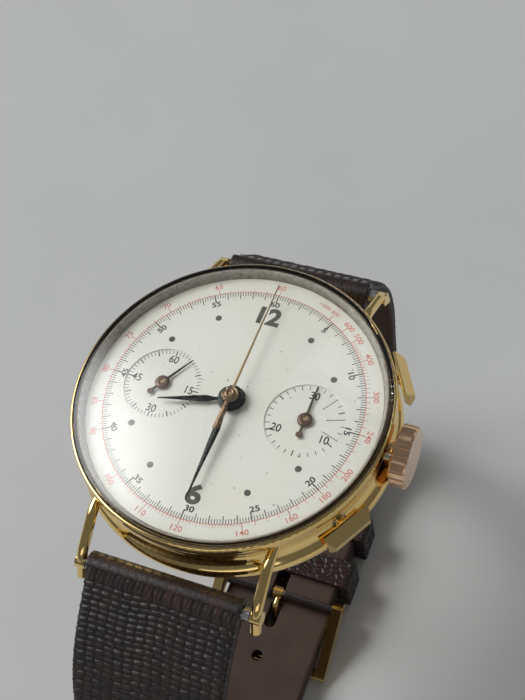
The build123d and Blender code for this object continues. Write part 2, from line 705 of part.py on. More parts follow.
def make_balance_wheel():
    """A three-armed rim with timing screws, its staff, roller and impulse pin."""
    rim = ring(4.3, 3.9, 4.05, 4.4, BALANCE)
    for spoke in range(3):
        bar = Rot(0, 0, spoke * 120) * block((0, 4.0), (-0.2, 0.2), (4.1, 4.3))
        rim += Pos(*BALANCE, 0) * bar
    for screw in range(12):
        stub = Rot(0, 0, screw * 30 + 15) * rod_x(0.16, 4.2, 4.55, z=4.22)
        rim += Pos(*BALANCE, 0) * stub
    rim += arbor(BALANCE)
    rim += disc(0.7, 4.75, 4.9, BALANCE)
    x, y = polar(0.52, bearing(BALANCE, FORK))
    return rim + disc(0.12, 4.9, 5.3, (BALANCE[0] + x, BALANCE[1] + y))


def make_hairspring():
    """The flat spiral above the balance, with its collet."""
    coil = spiral(6, 0.5, 0.28, 0.07, 3.82, 3.95, BALANCE)
    return coil + ring(0.58, 0.3, 3.82, 3.95, BALANCE)


def make_cannon_pinion():
    """The tube on the centre axle that carries the minute hand."""
    tube = disc(0.74, 6.55, 9.07)
    tube += gear(12, 0.84, 6.6, 6.9, CENTRE, bearing(CENTRE, MINUTE_WHEEL))
    return tube - disc(0.55, 6.55, 8.85) - disc(0.3, 8.85, 9.07)


def make_minute_wheel():
    """The wheel and pinion that slow the minute hand's turn for the hour hand."""
    wheel = gear(36, 2.52, 6.65, 6.85, MINUTE_WHEEL, bearing(MINUTE_WHEEL, CENTRE) + 5)
    wheel += gear(10, 0.672, 6.85, 7.3, MINUTE_WHEEL, bearing(MINUTE_WHEEL, CENTRE))
    return wheel - disc(0.36, 6.65, 7.3, MINUTE_WHEEL)


def make_hour_wheel():
    """The wheel and tube that carry the hour hand."""
    wheel = gear(40, 2.688, 7.0, 7.2, CENTRE, bearing(CENTRE, MINUTE_WHEEL) + 4.5)
    wheel += disc(1.02, 7.0, 8.62)
    return wheel - disc(0.81, 7.0, 8.62)


# ---------------------------------------------------------------- chronograph works


def heart(centre, bottom, top):
    """A heart-shaped cam, flat side towards its hammer."""
    x, y = centre
    return arm(bottom, top, (x - 0.3, y + 0.35, 0.45), (x + 0.3, y + 0.35, 0.45), (x, y - 0.75, 0.15))


def make_runner():
    """The chronograph runner: a fine-toothed wheel and its cam on the long centre axle."""
    wheel = gear(90, 3.9, *CHRONO_WHEEL_Z, CENTRE, 0)
    wheel = crossed(wheel, 3.3, 0.9, *CHRONO_WHEEL_Z, CENTRE)
    wheel += heart(CENTRE, 2.0, 2.3)
    return wheel + disc(0.25, 1.3, 9.7)


def make_recorder():
    """The minute recorder: thirty teeth and a cam on the axle of the right sub-dial hand."""
    wheel = gear(30, 2.35, *CHRONO_WHEEL_Z, RECORDER, 180)
    wheel = crossed(wheel, 1.7, 0.8, *CHRONO_WHEEL_Z, RECORDER)
    wheel += heart(RECORDER, 2.0, 2.3)
    return wheel + disc(0.25, 1.3, 7.3, RECORDER) + disc(0.2, 7.3, 8.35, RECORDER)


def make_recorder_idler():
    """The small wheel that passes one tooth a minute to the recorder."""
    wheel = gear(14, 1.09, *CHRONO_WHEEL_Z, RECORDER_IDLER, 180 / 14)
    return wheel - disc(0.25, *CHRONO_WHEEL_Z, RECORDER_IDLER)


def make_clutch_lever():
    """The swinging arm that brings the coupling wheel to the runner."""
    lever = arm(2.55, 2.8, (*FOURTH, 0.9), (*COUPLING, 0.6))
    lever -= disc(0.36, 2.55, 2.8, FOURTH)
    return lever - disc(0.25, 2.55, 2.8, COUPLING)


def make_coupling_wheel():
    """The wheel between the driving wheel and the runner."""
    facing = bearing(COUPLING, FOURTH) + 180 / 44
    wheel = gear(44, 1.82, *CHRONO_WHEEL_Z, COUPLING, facing)
    return wheel + disc(0.2, 2.1, 2.85, COUPLING)


def make_column_wheel():
    """The column wheel: a ratchet with six upright columns."""
    wheel = gear(12, 1.5, 2.5, 2.7, COLUMN_WHEEL)
    for column in range(6):
        x, y = polar(1.0, column * 60)
        wheel += disc(0.28, 2.0, 2.5, (COLUMN_WHEEL[0] + x, COLUMN_WHEEL[1] + y))
    return wheel - disc(0.3, 2.5, 2.7, COLUMN_WHEEL)


def make_operating_lever():
    """The start lever, with a tall tab behind the upper push piece."""
    lever = arm(*LEVER_Z, (*polar(14.6, 29), 0.5), (*LEVER_PIVOT, 0.7), (*polar(12.9, -9), 0.35))
    lever += Rot(0, 0, PUSHER_ANGLE) * block((14.9, 15.3), (-0.45, 0.45), (LEVER_Z[0], PUSHER_Z + 0.4))
    return lever - disc(0.3, *LEVER_Z, LEVER_PIVOT)


def make_reset_lever():
    """The reset lever, with a tall tab behind the lower push piece."""
    lever = arm(*LEVER_Z, (*polar(14.6, -30), 0.5), (*RESET_PIVOT, 0.7))
    lever += Rot(0, 0, -PUSHER_ANGLE) * block((14.9, 15.3), (-0.45, 0.45), (LEVER_Z[0], PUSHER_Z + 0.4))
    return lever - disc(0.3, *LEVER_Z, RESET_PIVOT)


def make_hammer():
    """The two-armed hammer that sets both cams back to zero."""
    hammer = arm(*LEVER_Z, (*HAMMER, 0.6), (1.7, -1.9, 0.3))
    hammer += arm(*LEVER_Z, (*HAMMER, 0.6), (7.1, -2.1, 0.3))
    return hammer - disc(0.3, *LEVER_Z, HAMMER)


# ---------------------------------------------------------------- strap and buckle


def slope(degrees, side):
    """The direction in the strap's side view of a strap that falls away on one side."""
    turn = math.radians(degrees)
    return side * math.cos(turn), -math.sin(turn)


def long_path():
    """The centre line of the long half in side view, from its spring bar to its tip."""
    bend = JernArc((-BAR_Y, BAR_Z), slope(LONG_SLOPE, -1), LONG_BEND_R, 90 - LONG_SLOPE)
    fall = Line(bend @ 1, bend @ 1 - Vector(0, LONG_STRAIGHT))
    corner = JernArc(fall @ 1, (0, -1), LONG_CORNER_R, 90)
    run = Line(corner @ 1, (CORNER_Y, TAIL_Z))
    tail = JernArc(run @ 1, (1, 0), SHORT_CORNER_R + TAIL_GAP, TAIL_ARC)
    return Wire([bend, fall, corner, run, tail])


def short_path():
    """The centre line of the short half in side view, from its spring bar to the buckle."""
    bend = JernArc((BAR_Y, BAR_Z), slope(SHORT_SLOPE, 1), SHORT_BEND_R, SHORT_SLOPE - 90)
    fall = Line(bend @ 1, bend @ 1 - Vector(0, SHORT_STRAIGHT))
    corner = JernArc(fall @ 1, (0, -1), SHORT_CORNER_R, -90)
    run = Line(corner @ 1, (BUCKLE_BAR_Y, SHORT_Z))
    return Wire([bend, fall, corner, run])


def strap_band(path):
    """A leather band along a side-view path, narrower towards the buckle."""
    route = Plane.YZ * path
    section = Plane(route @ 0, x_dir=(1, 0, 0), z_dir=route % 0) * Rectangle(STRAP_W, STRAP_T)
    band = sweep(section, path=route)
    half, end_half = STRAP_W / 2, STRAP_END_W / 2
    taper = Polyline(
        (-half, 10), (half, 10), (half, -4), (end_half, -40),
        (end_half, -60), (-end_half, -60), (-end_half, -40), (-half, -4), close=True,
    )
    prism = extrude(Plane.XZ * make_face(taper), 60, both=True)
    return Pos(STRAP_X, 0, 0) * (band & prism)


def folded_end(y, z, width):
    """The round fold of leather about a bar."""
    return rod_x(FOLD_R, STRAP_X - width / 2, STRAP_X + width / 2, y=y, z=z)


def bar_hole(y, z, radius):
    """A bar that cuts the tunnel of a spring bar."""
    return rod_x(radius, STRAP_X - 12, STRAP_X + 12, y=y, z=z)


def tip_corners():
    """Two wedges that trim the tail's end to a blunt point."""
    tip_y, tip_z = (Plane.YZ * long_path() @ 1).Y, (Plane.YZ * long_path() @ 1).Z
    half = STRAP_W / 2
    wedge = Polyline(
        (half, tip_z - TIP_LENGTH), (half, tip_z + STRAP_T), (TIP_HALF_W, tip_z + STRAP_T), close=True
    )
    corner = Pos(0, tip_y + STRAP_T, 0) * extrude(Plane.XZ * make_face(wedge), 4 * STRAP_T)
    return [Pos(STRAP_X, 0, 0) * one for one in (corner, mirror(corner, Plane.YZ))]


def make_strap_long():
    """The pierced half: a slot for the prong in use, and round holes before and after it."""
    band = strap_band(long_path()) + folded_end(-BAR_Y, BAR_Z, STRAP_W)
    band -= bar_hole(-BAR_Y, BAR_Z, BAR_R)
    slot = extrude(SlotOverall(4.2, 1.7, rotation=90), STRAP_T, both=True)
    band -= Pos(STRAP_X, PRONG_HOLE_Y, TAIL_Z) * slot
    for place in (-1, 1, 2):
        middle = (STRAP_X, PRONG_HOLE_Y + place * HOLE_PITCH)
        band -= disc(HOLE_R, TAIL_Z - STRAP_T, TAIL_Z + STRAP_T, middle)
    for corner in tip_corners():
        band -= corner
    return band


def make_strap_short():
    """The buckle half, folded over the buckle's bar with a gap for the prong."""
    band = strap_band(short_path()) + folded_end(BAR_Y, BAR_Z, STRAP_W)
    band += rod_x(1.0, STRAP_X - STRAP_END_W / 2, STRAP_X + STRAP_END_W / 2, y=BUCKLE_BAR_Y, z=SHORT_Z)
    band -= bar_hole(BAR_Y, BAR_Z, BAR_R)
    band -= bar_hole(BUCKLE_BAR_Y, SHORT_Z, BUCKLE_BAR_R + 0.05)
    gap = block((STRAP_X - 1.0, STRAP_X + 1.0), (-6, 0.0), (SHORT_Z - 3, SHORT_Z + 3))
    return band - gap


def make_keeper(middle_y):
    """A leather loop round both halves of the strap."""
    half_in = STRAP_END_W / 2 + KEEPER_CLEAR
    top_in = SHORT_Z + STRAP_T / 2 + KEEPER_CLEAR
    low_in = TAIL_Z - STRAP_T / 2 - KEEPER_CLEAR
    span = (middle_y - KEEPER_W / 2, middle_y + KEEPER_W / 2)
    wide = half_in + KEEPER_T
    outer = block((STRAP_X - wide, STRAP_X + wide), span, (low_in - KEEPER_T, top_in + 0.9))
    outer = fillet(outer.edges().filter_by(Axis.Y), 0.8)
    inner = block((STRAP_X - half_in, STRAP_X + half_in), span, (low_in, top_in))
    return outer - inner


def make_buckle_frame():
    """The U-shaped buckle: two arms from the bar and a notched front bar outside the tail."""
    front_z = REST_Z + BUCKLE_WIRE_R
    inside = STRAP_END_W / 2 + 0.4
    outside = inside + BUCKLE_ARM_T
    frame = rod_x(BUCKLE_WIRE_R, STRAP_X - outside, STRAP_X + outside, y=BUCKLE_TIP_Y, z=front_z)
    for start in (STRAP_X + inside, STRAP_X - outside):
        cheek = make_hull([
            Pos(BUCKLE_BAR_Y, SHORT_Z) * Circle(1.1).edge(),
            Pos(BUCKLE_TIP_Y, front_z) * Circle(BUCKLE_WIRE_R).edge(),
        ])
        frame += Pos(start, 0, 0) * extrude(Plane.YZ * cheek, BUCKLE_ARM_T)
    frame -= bar_hole(BUCKLE_BAR_Y, SHORT_Z, BUCKLE_BAR_R + 0.05)
    notch_y = (BUCKLE_TIP_Y - 1, BUCKLE_TIP_Y + 1)
    notch = block((STRAP_X - 0.75, STRAP_X + 0.75), notch_y, (REST_Z - 1, front_z + 0.3))
    return frame - notch


def make_buckle_bar():
    """The spring bar that the buckle and its prong turn on."""
    half = STRAP_END_W / 2 + BUCKLE_ARM_T + 0.2
    return rod_x(BUCKLE_BAR_R, STRAP_X - half, STRAP_X + half, y=BUCKLE_BAR_Y, z=SHORT_Z)


def make_buckle_prong():
    """The prong: an eye on the bar, a bend through the strap and a tip in the front bar's notch."""
    tip_z = REST_Z + 0.5
    path = FilletPolyline(
        (STRAP_X, BUCKLE_BAR_Y, SHORT_Z - 0.4),
        (STRAP_X, BUCKLE_BAR_Y - 1.9, SHORT_Z - 0.55),
        (STRAP_X, BUCKLE_BAR_Y - 4.0, tip_z),
        (STRAP_X, BUCKLE_TIP_Y - 0.9, tip_z),
        radius=0.6,
    )
    wire = sweep(Plane(path @ 0, z_dir=path % 0) * Circle(0.45), path=path)
    eye = rod_x(1.0, STRAP_X - 0.7, STRAP_X + 0.7, y=BUCKLE_BAR_Y, z=SHORT_Z)
    return (wire + eye) - bar_hole(BUCKLE_BAR_Y, SHORT_Z, BUCKLE_BAR_R + 0.05)


def main():
    save("mid_case", make_mid_case())
    save("bezel", make_bezel())
    save("crystal", make_crystal())
    save("case_back", make_case_back())
    save("lugs", *make_lugs())
    save("spring_bars", make_spring_bar(1), make_spring_bar(-1), make_buckle_bar())
    save("case_tubes", make_crown_tube(), *make_pusher_tubes())
    save("dial", make_dial())
    save("hour_hand", leaf_hand(8.5, 1.6, 1.02, 0.42, 2.9, 8.5, 0.12, HOUR_ANGLE))
    save("minute_hand", leaf_hand(13.0, 1.45, 0.74, 0.4, 4.2, 8.95, 0.12, MINUTE_ANGLE))
    save("chrono_seconds_hand", make_chrono_hand())
    save("running_seconds_hand", make_small_hand(FOURTH, 4.2, 1.7, RUNNING_ANGLE))
    save("minute_recorder_hand", make_small_hand(RECORDER, 4.4, 1.9, 0.0))
    save("crown", make_crown())
    save("winding_stem", make_stem())
    save("winding_pinion", make_winding_pinion())
    save("sliding_pinion", make_sliding_pinion())
    save("setting_lever", make_setting_lever())
    save("start_pusher", make_pusher(1))
    save("reset_pusher", make_pusher(-1))
    save("main_plate", make_main_plate())
    save("train_bridge", make_train_bridge())
    save("barrel_bridge", make_barrel_bridge())
    save("balance_cock", make_balance_cock())
    save("pallet_bridge", make_pallet_bridge())
    save("chronograph_bridge", make_chrono_bridge())
    save("jewels", *make_jewels())
    save("case_clamps", *make_case_clamps())
    save("movement_screws", *make_screws())
    save("barrel", make_barrel())
    save("mainspring", make_mainspring())
    save("ratchet_wheel", make_ratchet_wheel(), make_barrel_arbor())
    save("crown_wheel", make_crown_wheel())
    save("winding_idler", make_winding_idler())
    save("click", make_click())
    save("centre_wheel", make_centre_wheel())
    save("third_wheel", make_third_wheel())
    save("fourth_wheel", make_fourth_wheel())
    save("escape_wheel", make_escape_wheel())
    save("pallet_fork", make_pallet_fork())
    save("balance_wheel", make_balance_wheel())
    save("hairspring", make_hairspring())
    save("cannon_pinion", make_cannon_pinion())
    save("minute_wheel", make_minute_wheel())
    save("hour_wheel", make_hour_wheel())
    save("chronograph_runner", make_runner())
    save("minute_recorder_wheel", make_recorder())
    save("recorder_idler", make_recorder_idler())
    save("clutch_lever", make_clutch_lever())
    save("coupling_wheel", make_coupling_wheel())
    save("column_wheel", make_column_wheel())
    save("start_lever", make_operating_lever())
    save("reset_lever", make_reset_lever())
    save("hammer", make_hammer())
    save("strap_long", make_strap_long())
    save("strap_short", make_strap_short())
    save("fixed_keeper", make_keeper(FIXED_KEEPER_Y))
    save("free_keeper", make_keeper(FREE_KEEPER_Y))
    save("buckle_frame", make_buckle_frame())
    save("buckle_prong", make_buckle_prong())


main()
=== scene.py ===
"""Looks of the chronograph wristwatch. Lengths are in metres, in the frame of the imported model."""
import json
import math

import bpy
import numpy as np
from mathutils import Matrix, Vector


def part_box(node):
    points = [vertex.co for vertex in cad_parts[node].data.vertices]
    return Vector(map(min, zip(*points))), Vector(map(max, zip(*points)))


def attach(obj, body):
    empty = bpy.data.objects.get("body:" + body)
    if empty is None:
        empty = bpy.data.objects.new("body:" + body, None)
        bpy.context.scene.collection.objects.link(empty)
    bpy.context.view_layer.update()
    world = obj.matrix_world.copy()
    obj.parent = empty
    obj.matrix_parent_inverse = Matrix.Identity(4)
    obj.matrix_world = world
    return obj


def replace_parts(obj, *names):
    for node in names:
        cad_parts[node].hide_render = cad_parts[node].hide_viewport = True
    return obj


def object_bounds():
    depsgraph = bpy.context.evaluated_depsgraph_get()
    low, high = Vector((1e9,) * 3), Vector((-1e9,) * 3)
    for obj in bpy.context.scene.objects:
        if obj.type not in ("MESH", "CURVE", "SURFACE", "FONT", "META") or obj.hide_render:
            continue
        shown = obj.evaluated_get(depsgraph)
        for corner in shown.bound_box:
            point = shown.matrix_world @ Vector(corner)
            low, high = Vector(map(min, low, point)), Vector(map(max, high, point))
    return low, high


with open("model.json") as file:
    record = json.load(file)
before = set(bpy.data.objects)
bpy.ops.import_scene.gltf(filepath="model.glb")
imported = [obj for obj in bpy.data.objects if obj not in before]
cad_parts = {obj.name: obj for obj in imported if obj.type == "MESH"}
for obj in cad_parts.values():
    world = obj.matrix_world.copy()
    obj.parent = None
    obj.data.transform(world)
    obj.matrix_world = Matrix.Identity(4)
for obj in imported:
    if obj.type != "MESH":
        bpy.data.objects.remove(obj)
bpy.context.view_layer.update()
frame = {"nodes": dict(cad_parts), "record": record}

MM = 0.001

# Dial
CENTRE = (0.0, 0.0)
DIAL_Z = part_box("dial")[1][2]
SUB_DIAL_X = 8.63 * MM
SUB_DIAL_R = 4.42 * MM
SUB_DIAL_DEPTH = 0.12 * MM
LEFT_DIAL = (-SUB_DIAL_X, 0.0)
RIGHT_DIAL = (SUB_DIAL_X, 0.0)

# Printing
PRINT_T = 0.012 * MM
SCALE_R = 14.85 * MM
MINUTE_NUMERAL_R = 13.5 * MM
MINUTE_NUMERAL = 0.95 * MM
SPEED_NUMERAL_R = 15.95 * MM
SPEED_NUMERAL = 0.92 * MM
HIGH_SPEED_NUMERAL = 0.66 * MM
HOUR_R = 11.5 * MM
HOUR_DOT_R = 0.375 * MM
HOUR_NUMERAL_R = 11.75 * MM
HOUR_NUMERAL = 3.1 * MM
SMALL_NUMERAL = 1.35 * MM
SPEEDS = (1000, 800, 600, 500, 400, 300, 240, 200, 180, 160, 140, 120, 110, 100, 90, 85, 80, 75, 70, 65, 60)

# Hands, with angles clockwise from 12
HOUR_ANGLE = 255.0
MINUTE_ANGLE = 180.0
SECONDS_ANGLE = 32.0
HUB_T = 0.12 * MM
HUB_EDGE = 0.07 * MM

# Crystal
CRYSTAL_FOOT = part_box("crystal")[0][2]
CRYSTAL_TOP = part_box("crystal")[1][2]
CRYSTAL_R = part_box("crystal")[1][0]
CRYSTAL_SHOULDER = CRYSTAL_TOP - 1.8 * MM
CRYSTAL_WALL = 0.6 * MM
CRYSTAL_T = 0.7 * MM
INNER_DROP = 0.35 * MM
OUTER_ROUNDING = 0.35 * MM
INNER_ROUNDING = 0.25 * MM

# Strap
STRAP_X = -0.3 * MM
STRAP_W = 18.0 * MM
STRAP_END_W = 16.0 * MM
STRAP_T = 2.0 * MM
STRAP_DROP = 46.97 * MM
BAR_Y = 21.0 * MM
BAR_Z = 3.2 * MM
BAR_BORE = 0.78 * MM
FOLD_R = 1.5 * MM
BUCKLE_BAR_Y = -3.2 * MM
BUCKLE_BORE = 0.6 * MM
BUCKLE_WRAP_R = STRAP_T / 2
PRONG_HOLE_Y = BUCKLE_BAR_Y - 3.1 * MM
HOLE_PITCH = 6.5 * MM
HOLE_R = 0.8 * MM
TIP_LENGTH = 6.5 * MM
TIP_HALF_W = 2.5 * MM

# The strap's side view: each half falls from its bar in one bend and turns under in another
LONG_SLOPE = 27.0
LONG_BEND_R = 26.0 * MM
LONG_CORNER_R = 18.0 * MM
SHORT_SLOPE = 38.0
SHORT_BEND_R = 21.0 * MM
SHORT_CORNER_R = 16.0 * MM
TAIL_GAP = 2.1 * MM
TAIL_ARC = 68.0
LONG_FLAT_Y = LONG_CORNER_R - BAR_Y - LONG_BEND_R * (1 - math.sin(math.radians(LONG_SLOPE)))
SHORT_FLAT_Y = BAR_Y + SHORT_BEND_R * (1 - math.sin(math.radians(SHORT_SLOPE))) - SHORT_CORNER_R

# The strap's hide
SCALE_W = 1.15 * MM
SCALE_L = 0.65 * MM
SCALE_DEPTH = 0.27 * MM
RIDGED_FOLD = 1.3 * MM
GRID_ROW = 0.1 * MM
GRID_COLUMNS = 131

# Camera, lamp and lights
CAMERA_TARGET = (0.73 * MM, 7.42 * MM, DIAL_Z)
CAMERA_AZIMUTH = 33.74
CAMERA_ELEVATION = 55.83
CAMERA_ROLL = 15.08
CAMERA_DISTANCE = 131.67 * MM
LENS = 59.14
SENSOR = 36.0
LAMP_DIRECTION = (-0.74, 0.04, 0.67)
LAMP_STRENGTH = 5.4
ROOM_STRENGTH = 0.14
FLOOR_HALF = 1.5


# ---------------------------------------------------------------- node helpers


def add(tree, kind, inputs=None, **settings):
    """Adds a shader node. An input given as a socket is linked, any other is set."""
    node = tree.nodes.new("ShaderNode" + kind)
    for key, value in settings.items():
        setattr(node, key, value)
    for key, value in (inputs or {}).items():
        socket = node.inputs[key]
        if isinstance(value, bpy.types.NodeSocket):
            tree.links.new(value, socket)
        else:
            socket.default_value = value
    return node


def new_material(name):
    """An empty material and its node tree."""
    material = bpy.data.materials.new(name)
    material.use_nodes = True
    material.node_tree.nodes.clear()
    return material, material.node_tree


def surface(tree, shader):
    """Ends a node tree."""
    add(tree, "OutputMaterial", {"Surface": shader})


def principled(tree, inputs):
    """A Principled shader's output."""
    return add(tree, "BsdfPrincipled", inputs).outputs["BSDF"]


def rgb(red, green, blue):
    """An opaque colour."""
    return (red, green, blue, 1.0)


def place(tree):
    """The point on the object, in metres."""
    return add(tree, "TexCoord").outputs["Object"]


def noise(tree, scale, detail=3.0, stretch=(1, 1, 1)):
    """A noise value whose grain is 1 / scale metres across."""
    mapping = add(tree, "Mapping", {"Vector": place(tree), "Scale": stretch})
    texture = add(tree, "TexNoise", {"Vector": mapping.outputs["Vector"], "Scale": scale, "Detail": detail})
    return texture.outputs["Fac"]


def spread(tree, value, low_in, high_in, low, high):
    """Maps a value from one range to another, clamped."""
    node = add(
        tree,
        "MapRange",
        {"Value": value, "From Min": low_in, "From Max": high_in, "To Min": low, "To Max": high},
    )
    return node.outputs["Result"]


def blend_colours(tree, factor, first, second):
    """Mixes two colours, each a socket or a value."""
    node = add(tree, "Mix", data_type="RGBA")
    for index, value in ((0, factor), (6, first), (7, second)):
        socket = node.inputs[index]
        if isinstance(value, bpy.types.NodeSocket):
            tree.links.new(value, socket)
        else:
            socket.default_value = value
    return node.outputs[2]


def bump(tree, height, depth):
    """A surface normal roughened by a height, depth metres deep."""
    return add(tree, "Bump", {"Height": height, "Distance": depth}).outputs["Normal"]


# ---------------------------------------------------------------- materials


def metal(name, colour, stain, roughness, scratch, brushed=(1, 1, 1), corner_shade=0.0):
    """Worn metal: stains in its colour, fine scratches in its gloss, and painted shade darkening its
    corners.
    """
    material, tree = new_material(name)
    patches = noise(tree, 260.0, 4.0)
    specks = noise(tree, 2600.0, 3.0, brushed)
    shade = blend_colours(tree, spread(tree, patches, 0.45, 0.75, 0.0, 0.65), colour, stain)
    # Painted shade: ambient occlusion darkens the colour towards dark brown in corners and grooves.
    if corner_shade:
        corner = add(tree, "AmbientOcclusion", {"Distance": 0.35 * MM}).outputs["AO"]
        painted_shade = spread(tree, corner, 0.25, 0.85, corner_shade, 0.0)
        shade = blend_colours(tree, painted_shade, shade, rgb(0.05, 0.03, 0.018))
    shader = {
        "Base Color": shade,
        "Metallic": 1.0,
        "Roughness": spread(tree, specks, 0.35, 0.75, roughness, roughness + scratch),
        "Normal": bump(tree, specks, 0.0015 * MM),
    }
    surface(tree, principled(tree, shader))
    return material


def clear_acrylic():
    """Aged acrylic glass. Lamps shine through it onto the dial."""
    material, tree = new_material("acrylic")
    hairlines = noise(tree, 900.0, 5.0, (1, 6, 1))
    glass = {
        "Base Color": rgb(0.985, 0.985, 0.97),
        "Roughness": spread(tree, hairlines, 0.55, 0.8, 0.0, 0.006),
        "IOR": 1.49,
        "Transmission Weight": 1.0,
    }
    through = add(tree, "BsdfTransparent", {"Color": rgb(0.97, 0.97, 0.95)}).outputs["BSDF"]
    in_shadow = add(tree, "LightPath").outputs["Is Shadow Ray"]
    mix = add(tree, "MixShader", {0: in_shadow, 1: principled(tree, glass), 2: through})
    surface(tree, mix.outputs["Shader"])
    return material


def silvered_dial():
    """Silvered dial plate with age spots, a warm rim and faint brushing."""
    material, tree = new_material("silvered_dial")
    patches = spread(tree, noise(tree, 110.0, 4.0), 0.42, 0.72, 0.0, 0.6)
    spots = spread(tree, noise(tree, 1500.0, 2.0), 0.70, 0.76, 0.0, 0.75)
    grains = noise(tree, 5200.0, 2.0)
    radius = add(tree, "VectorMath", {0: place(tree)}, operation="LENGTH").outputs["Value"]
    rim = spread(tree, radius, 17.8 * MM, 19.4 * MM, 0.0, 0.55)
    base = blend_colours(tree, patches, rgb(0.80, 0.80, 0.745), rgb(0.76, 0.735, 0.63))
    spotted = blend_colours(tree, spots, base, rgb(0.30, 0.24, 0.15))
    shader = {
        "Base Color": blend_colours(tree, rim, spotted, rgb(0.62, 0.53, 0.36)),
        "Metallic": 0.25,
        "Roughness": spread(tree, grains, 0.3, 0.7, 0.38, 0.5),
        "Normal": bump(tree, grains, 0.002 * MM),
    }
    surface(tree, principled(tree, shader))
    return material


def ink(name, colour, worn):
    """Printed ink, thin in places."""
    material, tree = new_material(name)
    thin = noise(tree, 1800.0)
    shader = {
        "Base Color": blend_colours(tree, spread(tree, thin, 0.45, 0.75, 0.0, 0.8), colour, worn),
        "Roughness": spread(tree, thin, 0.3, 0.7, 0.45, 0.65),
    }
    surface(tree, principled(tree, shader))
    return material


def leather():
    """Dark glazed reptile leather. Its scales are in the mesh, whose groove value shades them."""
    material, tree = new_material("leather")
    groove = add(tree, "Attribute", attribute_name="groove").outputs["Fac"]
    patches = spread(tree, noise(tree, 420.0, 4.0), 0.4, 0.7, 0.0, 1.0)
    base = blend_colours(tree, patches, rgb(0.020, 0.012, 0.009), rgb(0.052, 0.026, 0.018))
    shader = {
        "Base Color": blend_colours(tree, groove, base, rgb(0.006, 0.004, 0.0035)),
        "Roughness": spread(tree, groove, 0.0, 1.0, 0.24, 0.7),
        "Specular IOR Level": 0.6,
        "Normal": bump(tree, noise(tree, 7000.0), 0.03 * MM),
    }
    surface(tree, principled(tree, shader))
    return material


def keeper_leather():
    """The same glazed hide on the keepers, its scales as bumps."""
    material, tree = new_material("keeper_leather")
    mapping = add(tree, "Mapping", {"Vector": place(tree), "Scale": (0.6, 1.0, 1.0)})
    grain = {"Vector": mapping.outputs["Vector"], "Scale": 1400.0}
    cells = add(tree, "TexVoronoi", grain, feature="DISTANCE_TO_EDGE")
    edge = spread(tree, cells.outputs["Distance"], 0.0, 0.25, 0.0, 1.0)
    shader = {
        "Base Color": blend_colours(tree, edge, rgb(0.007, 0.004, 0.0035), rgb(0.040, 0.021, 0.015)),
        "Roughness": spread(tree, edge, 0.0, 1.0, 0.7, 0.28),
        "Normal": bump(tree, edge, 0.1 * MM),
    }
    surface(tree, principled(tree, shader))
    return material


def lining():
    """Plain calf lining on the wrist side."""
    material, tree = new_material("strap_lining")
    patches = noise(tree, 300.0)
    shader = {
        "Base Color": blend_colours(tree, patches, rgb(0.075, 0.042, 0.026), rgb(0.042, 0.024, 0.016)),
        "Roughness": 0.7,
        "Normal": bump(tree, noise(tree, 3500.0, 4.0), 0.04 * MM),
    }
    surface(tree, principled(tree, shader))
    return material


# Gold and rose gold carry painted shade in their corners and grooves, the rose gold crown the most.
GOLD = metal("gold", rgb(1.0, 0.73, 0.30), rgb(0.88, 0.58, 0.20), 0.06, 0.08, corner_shade=0.7)
ROSE_GOLD = metal("rose_gold", rgb(0.94, 0.64, 0.42), rgb(0.72, 0.45, 0.28), 0.12, 0.12, corner_shade=0.95)
COPPER = metal("copper", rgb(0.20, 0.135, 0.10), rgb(0.10, 0.07, 0.05), 0.34, 0.2)
BRASS = metal("brass", rgb(0.50, 0.38, 0.21), rgb(0.30, 0.21, 0.11), 0.3, 0.15)
BRONZE = metal("bronze", rgb(0.33, 0.22, 0.14), rgb(0.18, 0.12, 0.08), 0.24, 0.15)
OLIVE = metal("olive", rgb(0.12, 0.115, 0.075), rgb(0.07, 0.065, 0.04), 0.3, 0.15)
GUNMETAL = metal("gunmetal", rgb(0.055, 0.06, 0.055), rgb(0.03, 0.03, 0.025), 0.22, 0.15)
STEEL = metal("steel", rgb(0.60, 0.60, 0.61), rgb(0.42, 0.42, 0.43), 0.2, 0.12)
GILT = metal("gilt", rgb(0.80, 0.60, 0.30), rgb(0.62, 0.42, 0.2), 0.28, 0.12)
ROSE_GILT = metal("rose_gilt", rgb(0.76, 0.53, 0.38), rgb(0.58, 0.36, 0.25), 0.3, 0.15, (1, 14, 1))
BLUED = metal("blued_steel", rgb(0.05, 0.08, 0.25), rgb(0.03, 0.04, 0.14), 0.2, 0.1)
RUBY = ink("ruby", rgb(0.45, 0.02, 0.07), rgb(0.55, 0.05, 0.12))
ACRYLIC = clear_acrylic()
DIAL = silvered_dial()
BLACK_INK = ink("black_ink", rgb(0.025, 0.026, 0.024), rgb(0.11, 0.11, 0.095))
RED_INK = ink("red_ink", rgb(0.62, 0.13, 0.09), rgb(0.74, 0.36, 0.29))
DOT_PAINT = ink("dot_paint", rgb(0.075, 0.08, 0.06), rgb(0.15, 0.155, 0.125))
RING_GREY = ink("ring_grey", rgb(0.34, 0.32, 0.285), rgb(0.17, 0.14, 0.105))
LEATHER = leather()
KEEPER_LEATHER = keeper_leather()
LINING = lining()

SLOT_MATERIALS = {
    "gold": GOLD,
    "rose_gold": ROSE_GOLD,
    "acrylic": ACRYLIC,
    "dial": DIAL,
    "dark_hand": GUNMETAL,
    "copper_hand": COPPER,
    "brass_hand": BRASS,
    "steel": STEEL,
    "gilt": GILT,
    "rose_gilt": ROSE_GILT,
    "blued_steel": BLUED,
    "ruby": RUBY,
    "leather": KEEPER_LEATHER,
}


def dress_cad_nodes():
    """Gives every CAD node its slot's material."""
    for part in frame["record"]["subparts"]:
        node = frame["nodes"][part["node"]]
        material = SLOT_MATERIALS[part["material_slot"]]
        for slot in node.material_slots:
            slot.material = material


# ---------------------------------------------------------------- mesh helpers


